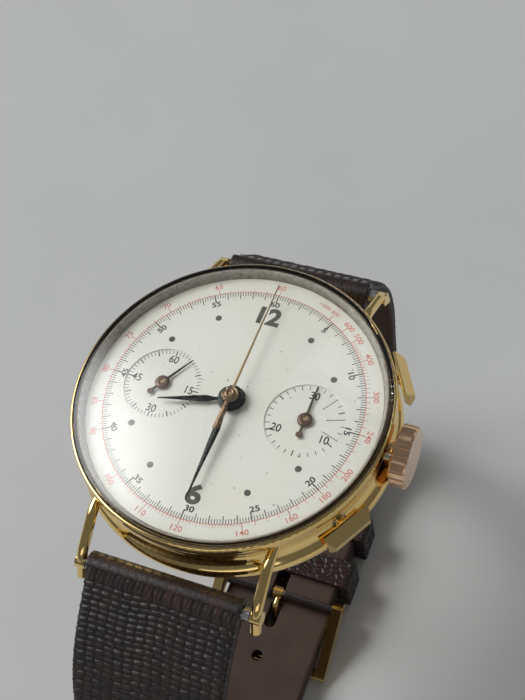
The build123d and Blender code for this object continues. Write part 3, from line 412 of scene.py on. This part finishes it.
def piece(name, vertices, faces, material, body="case", smooth=True):
    """A mesh object that rides on a body."""
    mesh = bpy.data.meshes.new(name)
    mesh.from_pydata([tuple(v) for v in vertices], [], faces)
    mesh.validate()
    mesh.update()
    mesh.materials.append(material)
    for face in mesh.polygons:
        face.use_smooth = smooth
    made = bpy.data.objects.new(name, mesh)
    bpy.context.scene.collection.objects.link(made)
    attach(made, body)
    return made


def in_mm(pairs, base=0.0):
    """Points given in millimetres, their second value measured from a base."""
    return [(a * MM, base + b * MM) for a, b in pairs]


def polar(centre, radius, degrees):
    """A point at a radius and an angle clockwise from 12."""
    turn = math.radians(degrees)
    return centre[0] + radius * math.sin(turn), centre[1] + radius * math.cos(turn)


def turned_about(vertices, centre, degrees):
    """Vertices turned clockwise by degrees and moved to a centre."""
    turn = math.radians(-degrees)
    cos, sin = math.cos(turn), math.sin(turn)
    return [(centre[0] + cos * x - sin * y, centre[1] + sin * x + cos * y, z) for x, y, z in vertices]


def revolved(profile, centre, segments):
    """Vertices and faces of a closed profile of (radius, height) turned about a centre."""
    vertices, faces = [], []
    count = len(profile)
    for k in range(segments):
        turn = 2 * math.pi * k / segments
        for radius, height in profile:
            x, y = radius * math.cos(turn), radius * math.sin(turn)
            vertices.append((centre[0] + x, centre[1] + y, height))
    for k in range(segments):
        here, there = k * count, ((k + 1) % segments) * count
        for a in range(count):
            b = (a + 1) % count
            faces.append([here + a, there + a, there + b, here + b])
    return vertices, faces


def lathe(name, profile, material, body, centre=CENTRE, segments=96):
    """A turned piece from a closed profile of (radius, height), with no point on the axis."""
    vertices, faces = revolved(profile, centre, segments)
    return piece(name, vertices, faces, material, body)


# ---------------------------------------------------------------- dial printing


class Print:
    """Flat printing on the dial, collected into one mesh of thin closed solids."""

    def __init__(self, surface_z=DIAL_Z):
        self.low = surface_z - PRINT_T / 2
        self.high = surface_z + PRINT_T
        self.vertices = []
        self.faces = []

    def collect(self, vertices, faces):
        """Adds a solid's vertices, and its faces as lists of places among them."""
        first = len(self.vertices)
        self.vertices += vertices
        self.faces += [[first + v for v in face] for face in faces]

    def slab(self, outline):
        """A thin prism on an outline of (x, y), given counter-clockwise."""
        count = len(outline)
        vertices = [(x, y, self.low) for x, y in outline]
        vertices += [(x, y, self.high) for x, y in outline]
        faces = [list(reversed(range(count))), list(range(count, 2 * count))]
        for i in range(count):
            j = (i + 1) % count
            faces.append([i, j, count + j, count + i])
        self.collect(vertices, faces)

    def tick(self, centre, degrees, inner, outer, width):
        """A radial stroke, its angle clockwise from 12."""
        turn = math.radians(degrees)
        along = Vector((math.sin(turn), math.cos(turn)))
        side = Vector((along.y, -along.x)) * width / 2
        start = Vector(centre) + along * inner
        end = Vector(centre) + along * outer
        self.slab([start - side, start + side, end + side, end - side])

    def circle(self, centre, radius, width):
        """A printed circle line."""
        inner, outer = radius - width / 2, radius + width / 2
        section = [(inner, self.low), (outer, self.low), (outer, self.high), (inner, self.high)]
        self.collect(*revolved(section, centre, 360))

    def dot(self, centre, radius, segments=40):
        """A round printed dot."""
        turns = [2 * math.pi * k / segments for k in range(segments)]
        self.slab([(centre[0] + radius * math.cos(t), centre[1] + radius * math.sin(t)) for t in turns])

    def text(self, words, centre, size, degrees=0.0, bold=0.0, wide=1.0):
        """Lettering centred on a point, turned clockwise by degrees, thickened and widened."""
        curve = bpy.data.curves.new("lettering", "FONT")
        curve.body = words
        curve.size = size
        curve.offset = bold
        curve.extrude = (self.high - self.low) / 2
        curve.resolution_u = 6
        holder = bpy.data.objects.new("lettering", curve)
        bpy.context.scene.collection.objects.link(holder)
        mesh = bpy.data.meshes.new_from_object(holder)
        points = np.empty(len(mesh.vertices) * 3)
        mesh.vertices.foreach_get("co", points)
        points = points.reshape(-1, 3)
        points -= (points.min(0) + points.max(0)) / 2
        points *= (wide, 1.0, 1.0)
        points += (0.0, 0.0, (self.low + self.high) / 2)
        self.collect(turned_about(points, centre, degrees), [list(face.vertices) for face in mesh.polygons])
        bpy.data.objects.remove(holder)
        bpy.data.meshes.remove(mesh)

    def finish(self, name, material):
        """The printing as one piece."""
        piece(name, self.vertices, self.faces, material, smooth=False)


def upright(degrees):
    """The turn of a numeral on a circle: its top points outwards, or inwards in the lower half."""
    return degrees if degrees <= 105 or degrees >= 255 else degrees + 180


def speed_angle(speed):
    """Where a speed in units per hour lies: the hand's angle after one unit."""
    return 360.0 * (3600.0 / speed) / 60.0


def print_seconds_track():
    """Black fifths of a second inside the red circle, with a numeral every five seconds."""
    track = Print()
    for fifth in range(300):
        if fifth % 25 == 0:
            length, width = 1.1 * MM, 0.14 * MM
        elif fifth % 5 == 0:
            length, width = 0.95 * MM, 0.095 * MM
        else:
            length, width = 0.58 * MM, 0.075 * MM
        track.tick(CENTRE, fifth * 1.2, SCALE_R - length, SCALE_R - 0.03 * MM, width)
    for five in range(1, 13):
        angle = five * 30.0
        beside = angle - 2.0 if 120 < angle < 240 else angle
        at = polar(CENTRE, MINUTE_NUMERAL_R, beside)
        track.text(str(five * 5), at, MINUTE_NUMERAL, upright(angle), bold=0.022 * MM, wide=1.22)
    track.finish("seconds_track_print", BLACK_INK)


def print_speed_track():
    """The red circle and its speed scale."""
    track = Print()
    track.circle(CENTRE, SCALE_R, 0.07 * MM)
    for speed in SPEEDS[1:]:
        track.tick(CENTRE, speed_angle(speed), SCALE_R, SCALE_R + 0.75 * MM, 0.08 * MM)
    for speed in SPEEDS:
        angle = speed_angle(speed)
        size, bold = (HIGH_SPEED_NUMERAL, 0.0) if speed > 600 else (SPEED_NUMERAL, 0.008 * MM)
        track.text(str(speed), polar(CENTRE, SPEED_NUMERAL_R, angle), size, upright(angle), bold, wide=1.1)
    for speed in (*range(60, 140), *range(140, 200, 5), *range(200, 500, 10)):
        length = 0.5 * MM if speed % 5 == 0 else 0.32 * MM
        track.tick(CENTRE, speed_angle(speed), SCALE_R, SCALE_R + length, 0.055 * MM)
    track.finish("speed_track_print", RED_INK)


def print_hours():
    """Eight painted dots and the numerals 12 and 6."""
    dots = Print()
    for hour in (1, 2, 4, 5, 7, 8, 10, 11):
        dots.dot(polar(CENTRE, HOUR_R, hour * 30.0), HOUR_DOT_R)
    dots.finish("hour_dots", DOT_PAINT)
    numerals = Print()
    for words, angle, wide in (("12", 0.0, 1.05), ("6", 178.5, 1.15)):
        numerals.text(words, polar(CENTRE, HOUR_NUMERAL_R, angle), HOUR_NUMERAL, bold=0.13 * MM, wide=wide)
    numerals.finish("hour_numerals", DOT_PAINT)


def print_sub_dial(name, centre, marks, short, numerals, numeral_r, bold, lines=()):
    """A sub-dial's ticks, every fifth one long, with its numerals and any long lines.

    short is a short tick's length and width, and numerals holds each numeral and its angle.
    """
    track = Print(DIAL_Z - SUB_DIAL_DEPTH)
    step = 360.0 / marks
    for mark in range(marks):
        length, width = (0.68 * MM, 0.13 * MM) if mark % 5 == 0 else short
        track.tick(centre, mark * step, SUB_DIAL_R - length, SUB_DIAL_R, width)
    for mark in lines:
        track.tick(centre, mark * step, 2.3 * MM, SUB_DIAL_R, 0.075 * MM)
    for words, angle in numerals:
        track.text(words, polar(centre, numeral_r, angle), SMALL_NUMERAL, bold=bold, wide=0.9)
    track.finish(name, BLACK_INK)


def print_sub_dials():
    """Small seconds on the left, and the minute recorder with lines at 3, 6 and 9 on the right."""
    seconds = (("60", 0), ("15", 90), ("30", 180), ("45", 270))
    short = (0.45 * MM, 0.07 * MM)
    print_sub_dial("small_seconds_print", LEFT_DIAL, 60, short, seconds, 3.3 * MM, 0.012 * MM)
    minutes = (("30", 0), ("10", 120), ("20", 240))
    short = (0.5 * MM, 0.08 * MM)
    print_sub_dial("minute_recorder_print", RIGHT_DIAL, 30, short, minutes, 3.25 * MM, 0.02 * MM, (3, 6, 9))


# ---------------------------------------------------------------- crystal


def curve_point(start, pull, end, t):
    """A value on the quadratic curve from start to end, drawn towards pull."""
    return (1 - t) ** 2 * start + 2 * t * (1 - t) * pull + t * t * end


def dome_profile(radius, shoulder, top, rounding, bend_steps=8, cap_steps=60):
    """A dome's half outline from its foot to just short of its axis, with a rounded shoulder."""
    rise = top - shoulder
    sphere = (radius ** 2 + rise ** 2) / (2 * rise)
    reach = radius - 1.6 * rounding
    wall_top = shoulder - rounding

    def cap(x):
        return top - sphere + math.sqrt(sphere ** 2 - x ** 2)

    outline = [(radius, CRYSTAL_FOOT), (radius, wall_top)]
    for k in range(1, bend_steps + 1):
        t = k / bend_steps
        x = curve_point(radius, radius, reach, t)
        outline.append((x, curve_point(wall_top, shoulder, cap(reach), t)))
    for k in range(1, cap_steps + 1):
        x = reach * (1 - k / cap_steps) + 0.001 * MM
        outline.append((x, cap(x)))
    return outline


def make_crystal():
    """The domed crystal: a shell with an upright wall and a rounded shoulder."""
    outside = dome_profile(CRYSTAL_R, CRYSTAL_SHOULDER, CRYSTAL_TOP, OUTER_ROUNDING)
    inside = dome_profile(
        CRYSTAL_R - CRYSTAL_WALL, CRYSTAL_SHOULDER - INNER_DROP, CRYSTAL_TOP - CRYSTAL_T, INNER_ROUNDING
    )
    shell = lathe("crystal_shell", outside + inside[::-1], ACRYLIC, "case", segments=256)
    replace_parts(shell, "crystal")


def make_tension_ring():
    """The pale ring that holds the crystal's foot, seen through it as a sloping band."""
    profile = in_mm([(16.8, 0.01), (17.4, 0.01), (17.4, 1.25), (17.3, 1.25)], DIAL_Z)
    lathe("tension_ring", profile, RING_GREY, "case", segments=240)


# ---------------------------------------------------------------- strap


def arc(radius, degrees):
    """An arc of a side view, as its length and its turn."""
    return radius * math.radians(abs(degrees)), degrees


def trace(start, heading, parts, step=0.02 * MM):
    """A side view of straights and arcs, as distance, y, z and heading. A part is (length, turn)."""
    headings, steps = [math.radians(heading)], [0.0]
    for length, turn in parts:
        count = round(length / step)
        for _ in range(count):
            headings.append(headings[-1] + math.radians(turn) / count)
            steps.append(length / count)
    headings, steps = np.array(headings), np.array(steps)
    middles = headings.copy()
    middles[1:] = (headings[1:] + headings[:-1]) / 2
    y = start[0] + np.cumsum(np.cos(middles) * steps)
    z = start[1] + np.cumsum(np.sin(middles) * steps)
    return np.cumsum(steps), y, z, headings


def edge_curve(line, side, along, offset, wraps):
    """Side-view points at an offset outwards from a traced line, wrapped round a bar at each end.

    Distances below 0 run round the first bar, and distances past the end round the last one.
    wraps holds the radius of each wrap.
    """
    distance, y, z, heading = line
    length = distance[-1]
    inside = np.clip(along, 0.0, length)
    round_first = np.maximum(-along, 0.0) / FOLD_R
    round_last = np.maximum(along - length, 0.0) / BUCKLE_WRAP_R
    turn = np.interp(inside, distance, heading) + side * (math.pi / 2 + round_first - round_last)
    radius = np.where(along < 0, wraps[0], np.where(along > length, wraps[1], offset))
    return (
        np.interp(inside, distance, y) + radius * np.cos(turn),
        np.interp(inside, distance, z) + radius * np.sin(turn),
    )


def scale_relief(along, across):
    """How high the hide stands, from 0 in a groove to 1 on a scale, on a grid of uneven scales."""
    wavy = 0.16 * np.sin(across * 900 + 1.3) + 0.22 * np.sin(along * 210 + across * 330)
    row_at = along / SCALE_L + wavy
    column_at = across / SCALE_W + 0.5 + 0.12 * np.sin(np.floor(row_at) * 2.7) + 0.14 * np.sin(along * 420)
    column = np.floor(column_at)
    row_at = row_at + 0.22 * np.sin(column * 12.9 + 0.7)
    row = np.floor(row_at)
    u = 2 * (column_at - column) - 1
    v = 2 * (row_at - row) - 1
    tall = 0.78 + 0.22 * np.sin(column * 7.7 + row * 3.1)
    cushion = tall * (1 - np.abs(u) ** 5) * (1 - np.abs(v) ** 2.2)
    ridges = 1 - np.abs(u) ** 2.5
    return np.where(along < RIDGED_FOLD, ridges, cushion)


def hole_edge(along, across, hole):
    """The distance outside a round-ended hole, and the nearest point of its edge."""
    middle, half_length, radius = hole
    nearest = np.clip(along, middle - half_length, middle + half_length)
    away = np.hypot(along - nearest, across)
    scale = radius / np.maximum(away, 1e-9)
    return away - radius, nearest + (along - nearest) * scale, across * scale


def strap_grid(line, span, half_width, holes):
    """A layer's grid: distances along, places across, half widths, and which cells aren't in a hole.

    Points beside a hole move onto its edge.
    """
    rows = np.linspace(span[0], span[1], round((span[1] - span[0]) / GRID_ROW) + 1)
    along, share = np.meshgrid(rows, np.linspace(-1.0, 1.0, GRID_COLUMNS), indexing="ij")
    half = half_width(np.interp(along, line[0], line[2]), along)
    across = share * half
    kept = np.ones((len(rows) - 1, GRID_COLUMNS - 1), bool)
    for hole in holes:
        outside, edge_along, edge_across = hole_edge(along, across, hole)
        cut = (outside[:-1, :-1] + outside[1:, :-1] + outside[:-1, 1:] + outside[1:, 1:]) < 0
        beside = np.zeros(along.shape, bool)
        for a in (slice(None, -1), slice(1, None)):
            for b in (slice(None, -1), slice(1, None)):
                beside[a, b] |= cut
        moved = beside & (np.abs(outside) < 1.5 * GRID_ROW)
        along = np.where(moved, edge_along, along)
        across = np.where(moved, edge_across, across)
        kept &= ~cut
    return along, across, half, kept


def shell_faces(kept):
    """Faces of a closed layer on a grid: the kept cells on top, the same below, and walls between."""
    rows, columns = kept.shape
    index = np.arange((rows + 1) * (columns + 1)).reshape(rows + 1, columns + 1)
    count = index.size
    a, b, c, d = index[:-1, :-1], index[:-1, 1:], index[1:, 1:], index[1:, :-1]
    faces = [np.stack([a, b, c, d], -1)[kept], np.stack([d, c, b, a], -1)[kept] + count]
    padded = np.pad(kept, 1)
    for neighbour, start, end in (
        (padded[:-2, 1:-1], a, b),
        (padded[1:-1, 2:], b, c),
        (padded[2:, 1:-1], c, d),
        (padded[1:-1, :-2], d, a),
    ):
        open_edge = kept & ~neighbour
        first, second = start[open_edge], end[open_edge]
        faces.append(np.stack([second, first, first + count, second + count], -1))
    return np.concatenate(faces)


def strap_layer(name, node, line, side, span, offsets, wraps, holes, half_width, material, groove=None):
    """One layer of a strap as a closed solid between two surfaces, with holes through it.

    span is its range along the line. offsets holds a function for each surface, of the distance,
    the place across and the half width, and wraps holds each surface's radii round the two bars.
    """
    along, across, half, kept = strap_grid(line, span, half_width, holes)
    points = []
    for offset, radii in zip(offsets, wraps):
        y, z = edge_curve(line, side, along, offset(along, across, half), radii)
        points.append(np.stack([STRAP_X + across, y, z], -1).reshape(-1, 3))
    used, faces = np.unique(shell_faces(kept)[:, ::side], return_inverse=True)
    made = piece(name, np.concatenate(points)[used], faces.reshape(-1, 4).tolist(), material)
    if groove is not None:
        depths = np.concatenate([groove(along, across).ravel(), np.ones(along.size)])
        attribute = made.data.attributes.new("groove", "FLOAT", "POINT")
        attribute.data.foreach_set("value", depths[used].astype(np.float32))
    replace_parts(made, node)


def rounded_side(across, half):
    """How far a strap's surface falls at its two long edges."""
    edge = 0.6 * MM
    near = np.clip((np.abs(across) - half + edge) / edge, 0.0, 1.0)
    return 0.4 * MM * (1 - np.sqrt(1 - near ** 2))


def fold_bulge(along):
    """The extra thickness where the strap is folded round its spring bar."""
    return (FOLD_R - STRAP_T / 2) * np.exp(-((along / (2.2 * MM)) ** 2))


def bore(away, radius):
    """How far a surface stands off the strap's middle where it goes round a bar."""
    return np.sqrt(np.clip(radius ** 2 - away ** 2, 0.0, None))


def make_strap(node, line, side, holes, half_width, bores):
    """Both layers of a strap half: scaled hide outside and smooth lining inside."""
    length = line[0][-1]

    def groove(along, across):
        return 1 - scale_relief(along, across)

    def surface_height(along, across, half):
        return STRAP_T / 2 + fold_bulge(along) - rounded_side(across, half)

    def hide_top(along, across, half):
        return surface_height(along, across, half) - SCALE_DEPTH * groove(along, across)

    def hide_low(along, across, half):
        return np.maximum(bore(along, bores[0]), bore(length - along, bores[1]))

    def lining_top(along, across, half):
        return -hide_low(along, across, half)

    def lining_low(along, across, half):
        return -surface_height(along, across, half)

    end_wrap = math.pi * BUCKLE_WRAP_R if bores[1] else 0.0
    span = (-math.pi * FOLD_R, length + end_wrap)
    outer = (FOLD_R, BUCKLE_WRAP_R)
    strap_layer(
        node + "_hide", node, line, side, span, (hide_top, hide_low), (outer, bores), holes, half_width,
        LEATHER, groove,
    )
    strap_layer(
        node + "_lining", node, line, side, (0.0, length), (lining_top, lining_low), (outer, outer), holes,
        half_width, LINING,
    )


def taper(height):
    """Half the strap's width at a height: full by the case, narrower by the buckle."""
    return np.interp(height, [-40 * MM, -4 * MM], [STRAP_END_W / 2, STRAP_W / 2])


def make_long_strap():
    """The pierced half by 6 o'clock, with a pointed tip."""
    drop = LONG_CORNER_R + LONG_BEND_R * math.cos(math.radians(LONG_SLOPE))
    parts = (
        arc(LONG_BEND_R, 90 - LONG_SLOPE),
        (STRAP_DROP - drop, 0.0),
        arc(LONG_CORNER_R, 90),
        (SHORT_FLAT_Y - LONG_FLAT_Y, 0.0),
        arc(SHORT_CORNER_R + TAIL_GAP, TAIL_ARC),
    )
    line = trace((-BAR_Y, BAR_Z), 180 + LONG_SLOPE, parts)
    length, tip_z = line[0][-1], line[2][-1]
    tip_slope = (STRAP_W / 2 - TIP_HALF_W) / (TIP_LENGTH + STRAP_T)

    def pointed(height, along):
        tip = STRAP_W / 2 - tip_slope * (height - tip_z + TIP_LENGTH)
        return np.where(along > length - 12 * MM, np.minimum(taper(height), tip), taper(height))

    flat_from = sum(part[0] for part in parts[:3]) - LONG_FLAT_Y
    holes = [(flat_from + PRONG_HOLE_Y, 1.25 * MM, 0.85 * MM)]
    holes += [(flat_from + PRONG_HOLE_Y + step * HOLE_PITCH, 0.0, HOLE_R) for step in (-1, 1, 2)]
    make_strap("strap_long", line, -1, holes, pointed, (BAR_BORE, 0.0))


def make_short_strap():
    """The buckle half by 12 o'clock, with a gap for the prong where it goes round the buckle's bar."""
    drop = TAIL_GAP + SHORT_CORNER_R + SHORT_BEND_R * math.cos(math.radians(SHORT_SLOPE))
    parts = (
        arc(SHORT_BEND_R, SHORT_SLOPE - 90),
        (STRAP_DROP - drop, 0.0),
        arc(SHORT_CORNER_R, -90),
        (SHORT_FLAT_Y - BUCKLE_BAR_Y, 0.0),
    )
    line = trace((BAR_Y, BAR_Z), -SHORT_SLOPE, parts)
    gap = (line[0][-1] + 1.0 * MM, 3.2 * MM, 1.0 * MM)
    make_strap("strap_short", line, 1, [gap], lambda height, along: taper(height), (BAR_BORE, BUCKLE_BORE))


# ---------------------------------------------------------------- hands


def blade(widths, bottom, ridge, edge):
    """Vertices and faces of a hand's blade along +Y, with a raised ridge. widths is (y, half width)."""
    vertices, faces = [], []
    for y, half in widths:
        vertices += [(-half, y, bottom), (half, y, bottom), (half, y, bottom + edge)]
        vertices += [(0.0, y, bottom + ridge), (-half, y, bottom + edge)]
    for start in range(0, 5 * (len(widths) - 1), 5):
        for a in range(5):
            b = (a + 1) % 5
            faces.append([start + a, start + 5 + a, start + 5 + b, start + b])
    last = len(vertices) - 5
    faces.append([0, 1, 2, 3, 4])
    faces.append([last + 4, last + 3, last + 2, last + 1, last])
    return vertices, faces


def make_blade(name, node, widths, bottom, rise, degrees, material, body, centre=CENTRE):
    """A hand's blade in its place. widths and rise, its ridge and its edge, are in millimetres."""
    ridge, edge = rise
    vertices, faces = blade(in_mm(widths), bottom, ridge * MM, edge * MM)
    placed = turned_about(vertices, centre, degrees)
    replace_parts(piece(name, placed, faces, material, body, smooth=False), node)


def make_leaf_hand(node, body, hub_r, bore_r, widths, degrees):
    """A ridged leaf blade on a slightly domed hub, at its CAD hand's height."""
    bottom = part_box(node)[0][2]
    top = bottom + HUB_T
    hub = [(bore_r, bottom), (hub_r, bottom), (hub_r, bottom + HUB_EDGE)]
    hub += [(hub_r - HUB_T, top), (hub_r * 0.6, top), (bore_r, top)]
    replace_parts(lathe(node + "_hub", hub, GUNMETAL, body), node)
    make_blade(node + "_blade", node, widths, bottom, (0.12, 0.05), degrees, GUNMETAL, body)


def make_main_hands():
    """The hour and minute hands and the centre chronograph hand with its brass boss."""
    hour = [(1.2, 0.2), (1.9, 0.2), (2.9, 0.42), (4.2, 0.36), (6.2, 0.2), (8.5, 0.07)]
    make_leaf_hand("hour_hand", "hour", 1.6 * MM, 1.03 * MM, hour, HOUR_ANGLE)
    minute = [(1.1, 0.2), (2.6, 0.2), (4.2, 0.4), (6.0, 0.35), (9.0, 0.2), (13.0, 0.07)]
    make_leaf_hand("minute_hand", "centre", 1.45 * MM, 0.75 * MM, minute, MINUTE_ANGLE)
    node = "chrono_seconds_hand"
    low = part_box(node)[0][2]
    needle = [(0.3, 0.17), (8.0, 0.11), (15.4, 0.06)]
    tail = [(-4.4, 0.36), (-2.8, 0.32), (-0.3, 0.2)]
    for name, widths, material in (("chrono_needle", needle, BRASS), ("chrono_tail", tail, BRONZE)):
        make_blade(name, node, widths, low + 0.1 * MM, (0.12, 0.06), 0.0, material, "chrono")
    boss = [(0.2, 0.0), (0.92, 0.0), (0.96, 0.06), (0.96, 0.32), (0.88, 0.4), (0.8, 0.4)]
    boss += [(0.74, 0.32), (0.66, 0.38), (0.62, 0.53), (0.5, 0.6), (0.3, 0.6), (0.2, 0.4)]
    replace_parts(lathe("chrono_boss", in_mm(boss, low), BRONZE, "chrono"), node)


def make_small_hand(node, body, centre, length, tail, degrees):
    """A sub-dial hand: an olive-dark needle with a copper boss and bulb. Its lengths are in millimetres."""
    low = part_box(node)[0][2]
    widths = [(-tail, 0.14), (-0.3, 0.16), (0.3, 0.17), (length * 0.6, 0.12), (length, 0.05)]
    boss = [(0.16, 0.01), (0.82, 0.01), (0.85, 0.05), (0.85, 0.19), (0.7, 0.31), (0.34, 0.35), (0.16, 0.25)]
    bulb = [(0.02, 0.1), (0.36, 0.1), (0.38, 0.15), (0.3, 0.21), (0.02, 0.22)]
    bulb_at = polar(centre, -tail * MM, degrees)
    rise = (0.1, 0.05)
    make_blade(node + "_needle", node, widths, low + 0.1 * MM, rise, degrees, OLIVE, body, centre)
    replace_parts(lathe(node + "_boss", in_mm(boss, low), COPPER, body, centre), node)
    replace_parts(lathe(node + "_bulb", in_mm(bulb, low), COPPER, body, bulb_at, 40), node)


# ---------------------------------------------------------------- stage and camera


def make_camera():
    """A camera above the lower right of the dial, rolled as one held in the hand."""
    azimuth, elevation, roll = map(math.radians, (CAMERA_AZIMUTH, CAMERA_ELEVATION, CAMERA_ROLL))
    level = Vector((math.cos(azimuth), math.sin(azimuth), 0))
    outward = Vector((math.sin(azimuth), -math.cos(azimuth), 0))
    back = outward * math.cos(elevation) + Vector((0, 0, math.sin(elevation)))
    over = back.cross(level)
    right = level * math.cos(roll) - over * math.sin(roll)
    basis = Matrix((right, back.cross(right), back)).transposed().to_4x4()
    lens = bpy.data.cameras.new("camera")
    lens.sensor_width = SENSOR
    lens.lens = LENS
    lens.clip_start = 0.01
    holder = bpy.data.objects.new("camera", lens)
    bpy.context.scene.collection.objects.link(holder)
    holder.matrix_world = Matrix.Translation(Vector(CAMERA_TARGET) + back * CAMERA_DISTANCE) @ basis
    bpy.context.scene.camera = holder


def make_room():
    """A pale room with one large soft lamp without edges, up on the left."""
    world = bpy.data.worlds.new("studio")
    world.use_nodes = True
    tree = world.node_tree
    direction = add(tree, "TexCoord").outputs["Generated"]
    lamp_at = Vector(LAMP_DIRECTION).normalized()
    nearness = add(tree, "VectorMath", {0: direction, 1: lamp_at}, operation="DOT_PRODUCT").outputs["Value"]
    lamp = add(
        tree,
        "MapRange",
        {"Value": nearness, "From Min": 0.88, "From Max": 0.995, "To Min": 0.0, "To Max": LAMP_STRENGTH},
        interpolation_type="SMOOTHERSTEP",
    )
    strength = add(tree, "Math", {0: lamp.outputs["Result"], 1: ROOM_STRENGTH}, operation="ADD")
    background = tree.nodes["Background"]
    background.inputs["Color"].default_value = rgb(0.88, 0.90, 0.93)
    tree.links.new(strength.outputs["Value"], background.inputs["Strength"])
    bpy.context.scene.world = world


def make_floor():
    """A pale floor under the buckle."""
    floor_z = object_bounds()[0][2]
    mesh = bpy.data.meshes.new("floor")
    corners = [(x * FLOOR_HALF, y * FLOOR_HALF, floor_z) for x, y in ((-1, -1), (1, -1), (1, 1), (-1, 1))]
    mesh.from_pydata(corners, [], [(0, 1, 2, 3)])
    material, tree = new_material("pale_floor")
    tone = blend_colours(tree, noise(tree, 30.0), rgb(0.60, 0.60, 0.59), rgb(0.66, 0.66, 0.65))
    surface(tree, principled(tree, {"Base Color": tone, "Roughness": 0.75}))
    mesh.materials.append(material)
    floor = bpy.data.objects.new("floor", mesh)
    bpy.context.scene.collection.objects.link(floor)


def area_light(name, position, size, power, colour):
    """A rectangular light that faces the dial."""
    light = bpy.data.lights.new(name, "AREA")
    light.shape = "RECTANGLE"
    light.size, light.size_y = size
    light.energy = power
    light.color = colour
    holder = bpy.data.objects.new(name, light)
    bpy.context.scene.collection.objects.link(holder)
    towards = Vector((0, 0, DIAL_Z)) - Vector(position)
    turn = towards.to_track_quat("-Z", "Y").to_matrix().to_4x4()
    holder.matrix_world = Matrix.Translation(position) @ turn
    return holder


def make_lights():
    """A small warm key light that leaves no reflection, and two wide fills."""
    key = area_light("key", (-0.33, 0.10, 0.38), (0.09, 0.09), 0.34, (1.0, 0.98, 0.94))
    key.visible_glossy = False
    key.visible_transmission = False
    area_light("front_fill", (0.10, -0.42, 0.25), (0.35, 0.15), 0.14, (1.0, 0.97, 0.92))
    area_light("top_fill", (0.12, 0.35, 0.45), (0.4, 0.2), 0.16, (0.94, 0.97, 1.0))


dress_cad_nodes()
print_seconds_track()
print_speed_track()
print_hours()
print_sub_dials()
make_main_hands()
make_small_hand("running_seconds_hand", "fourth", LEFT_DIAL, 4.2, 1.7, SECONDS_ANGLE)
make_small_hand("minute_recorder_hand", "recorder", RIGHT_DIAL, 4.4, 1.9, 0.0)
make_crystal()
make_tension_ring()
make_long_strap()
make_short_strap()
make_camera()
make_room()
make_floor()
make_lights()
bpy.context.scene.view_settings.view_transform = "Standard"
bpy.context.scene.view_settings.exposure = 0.03
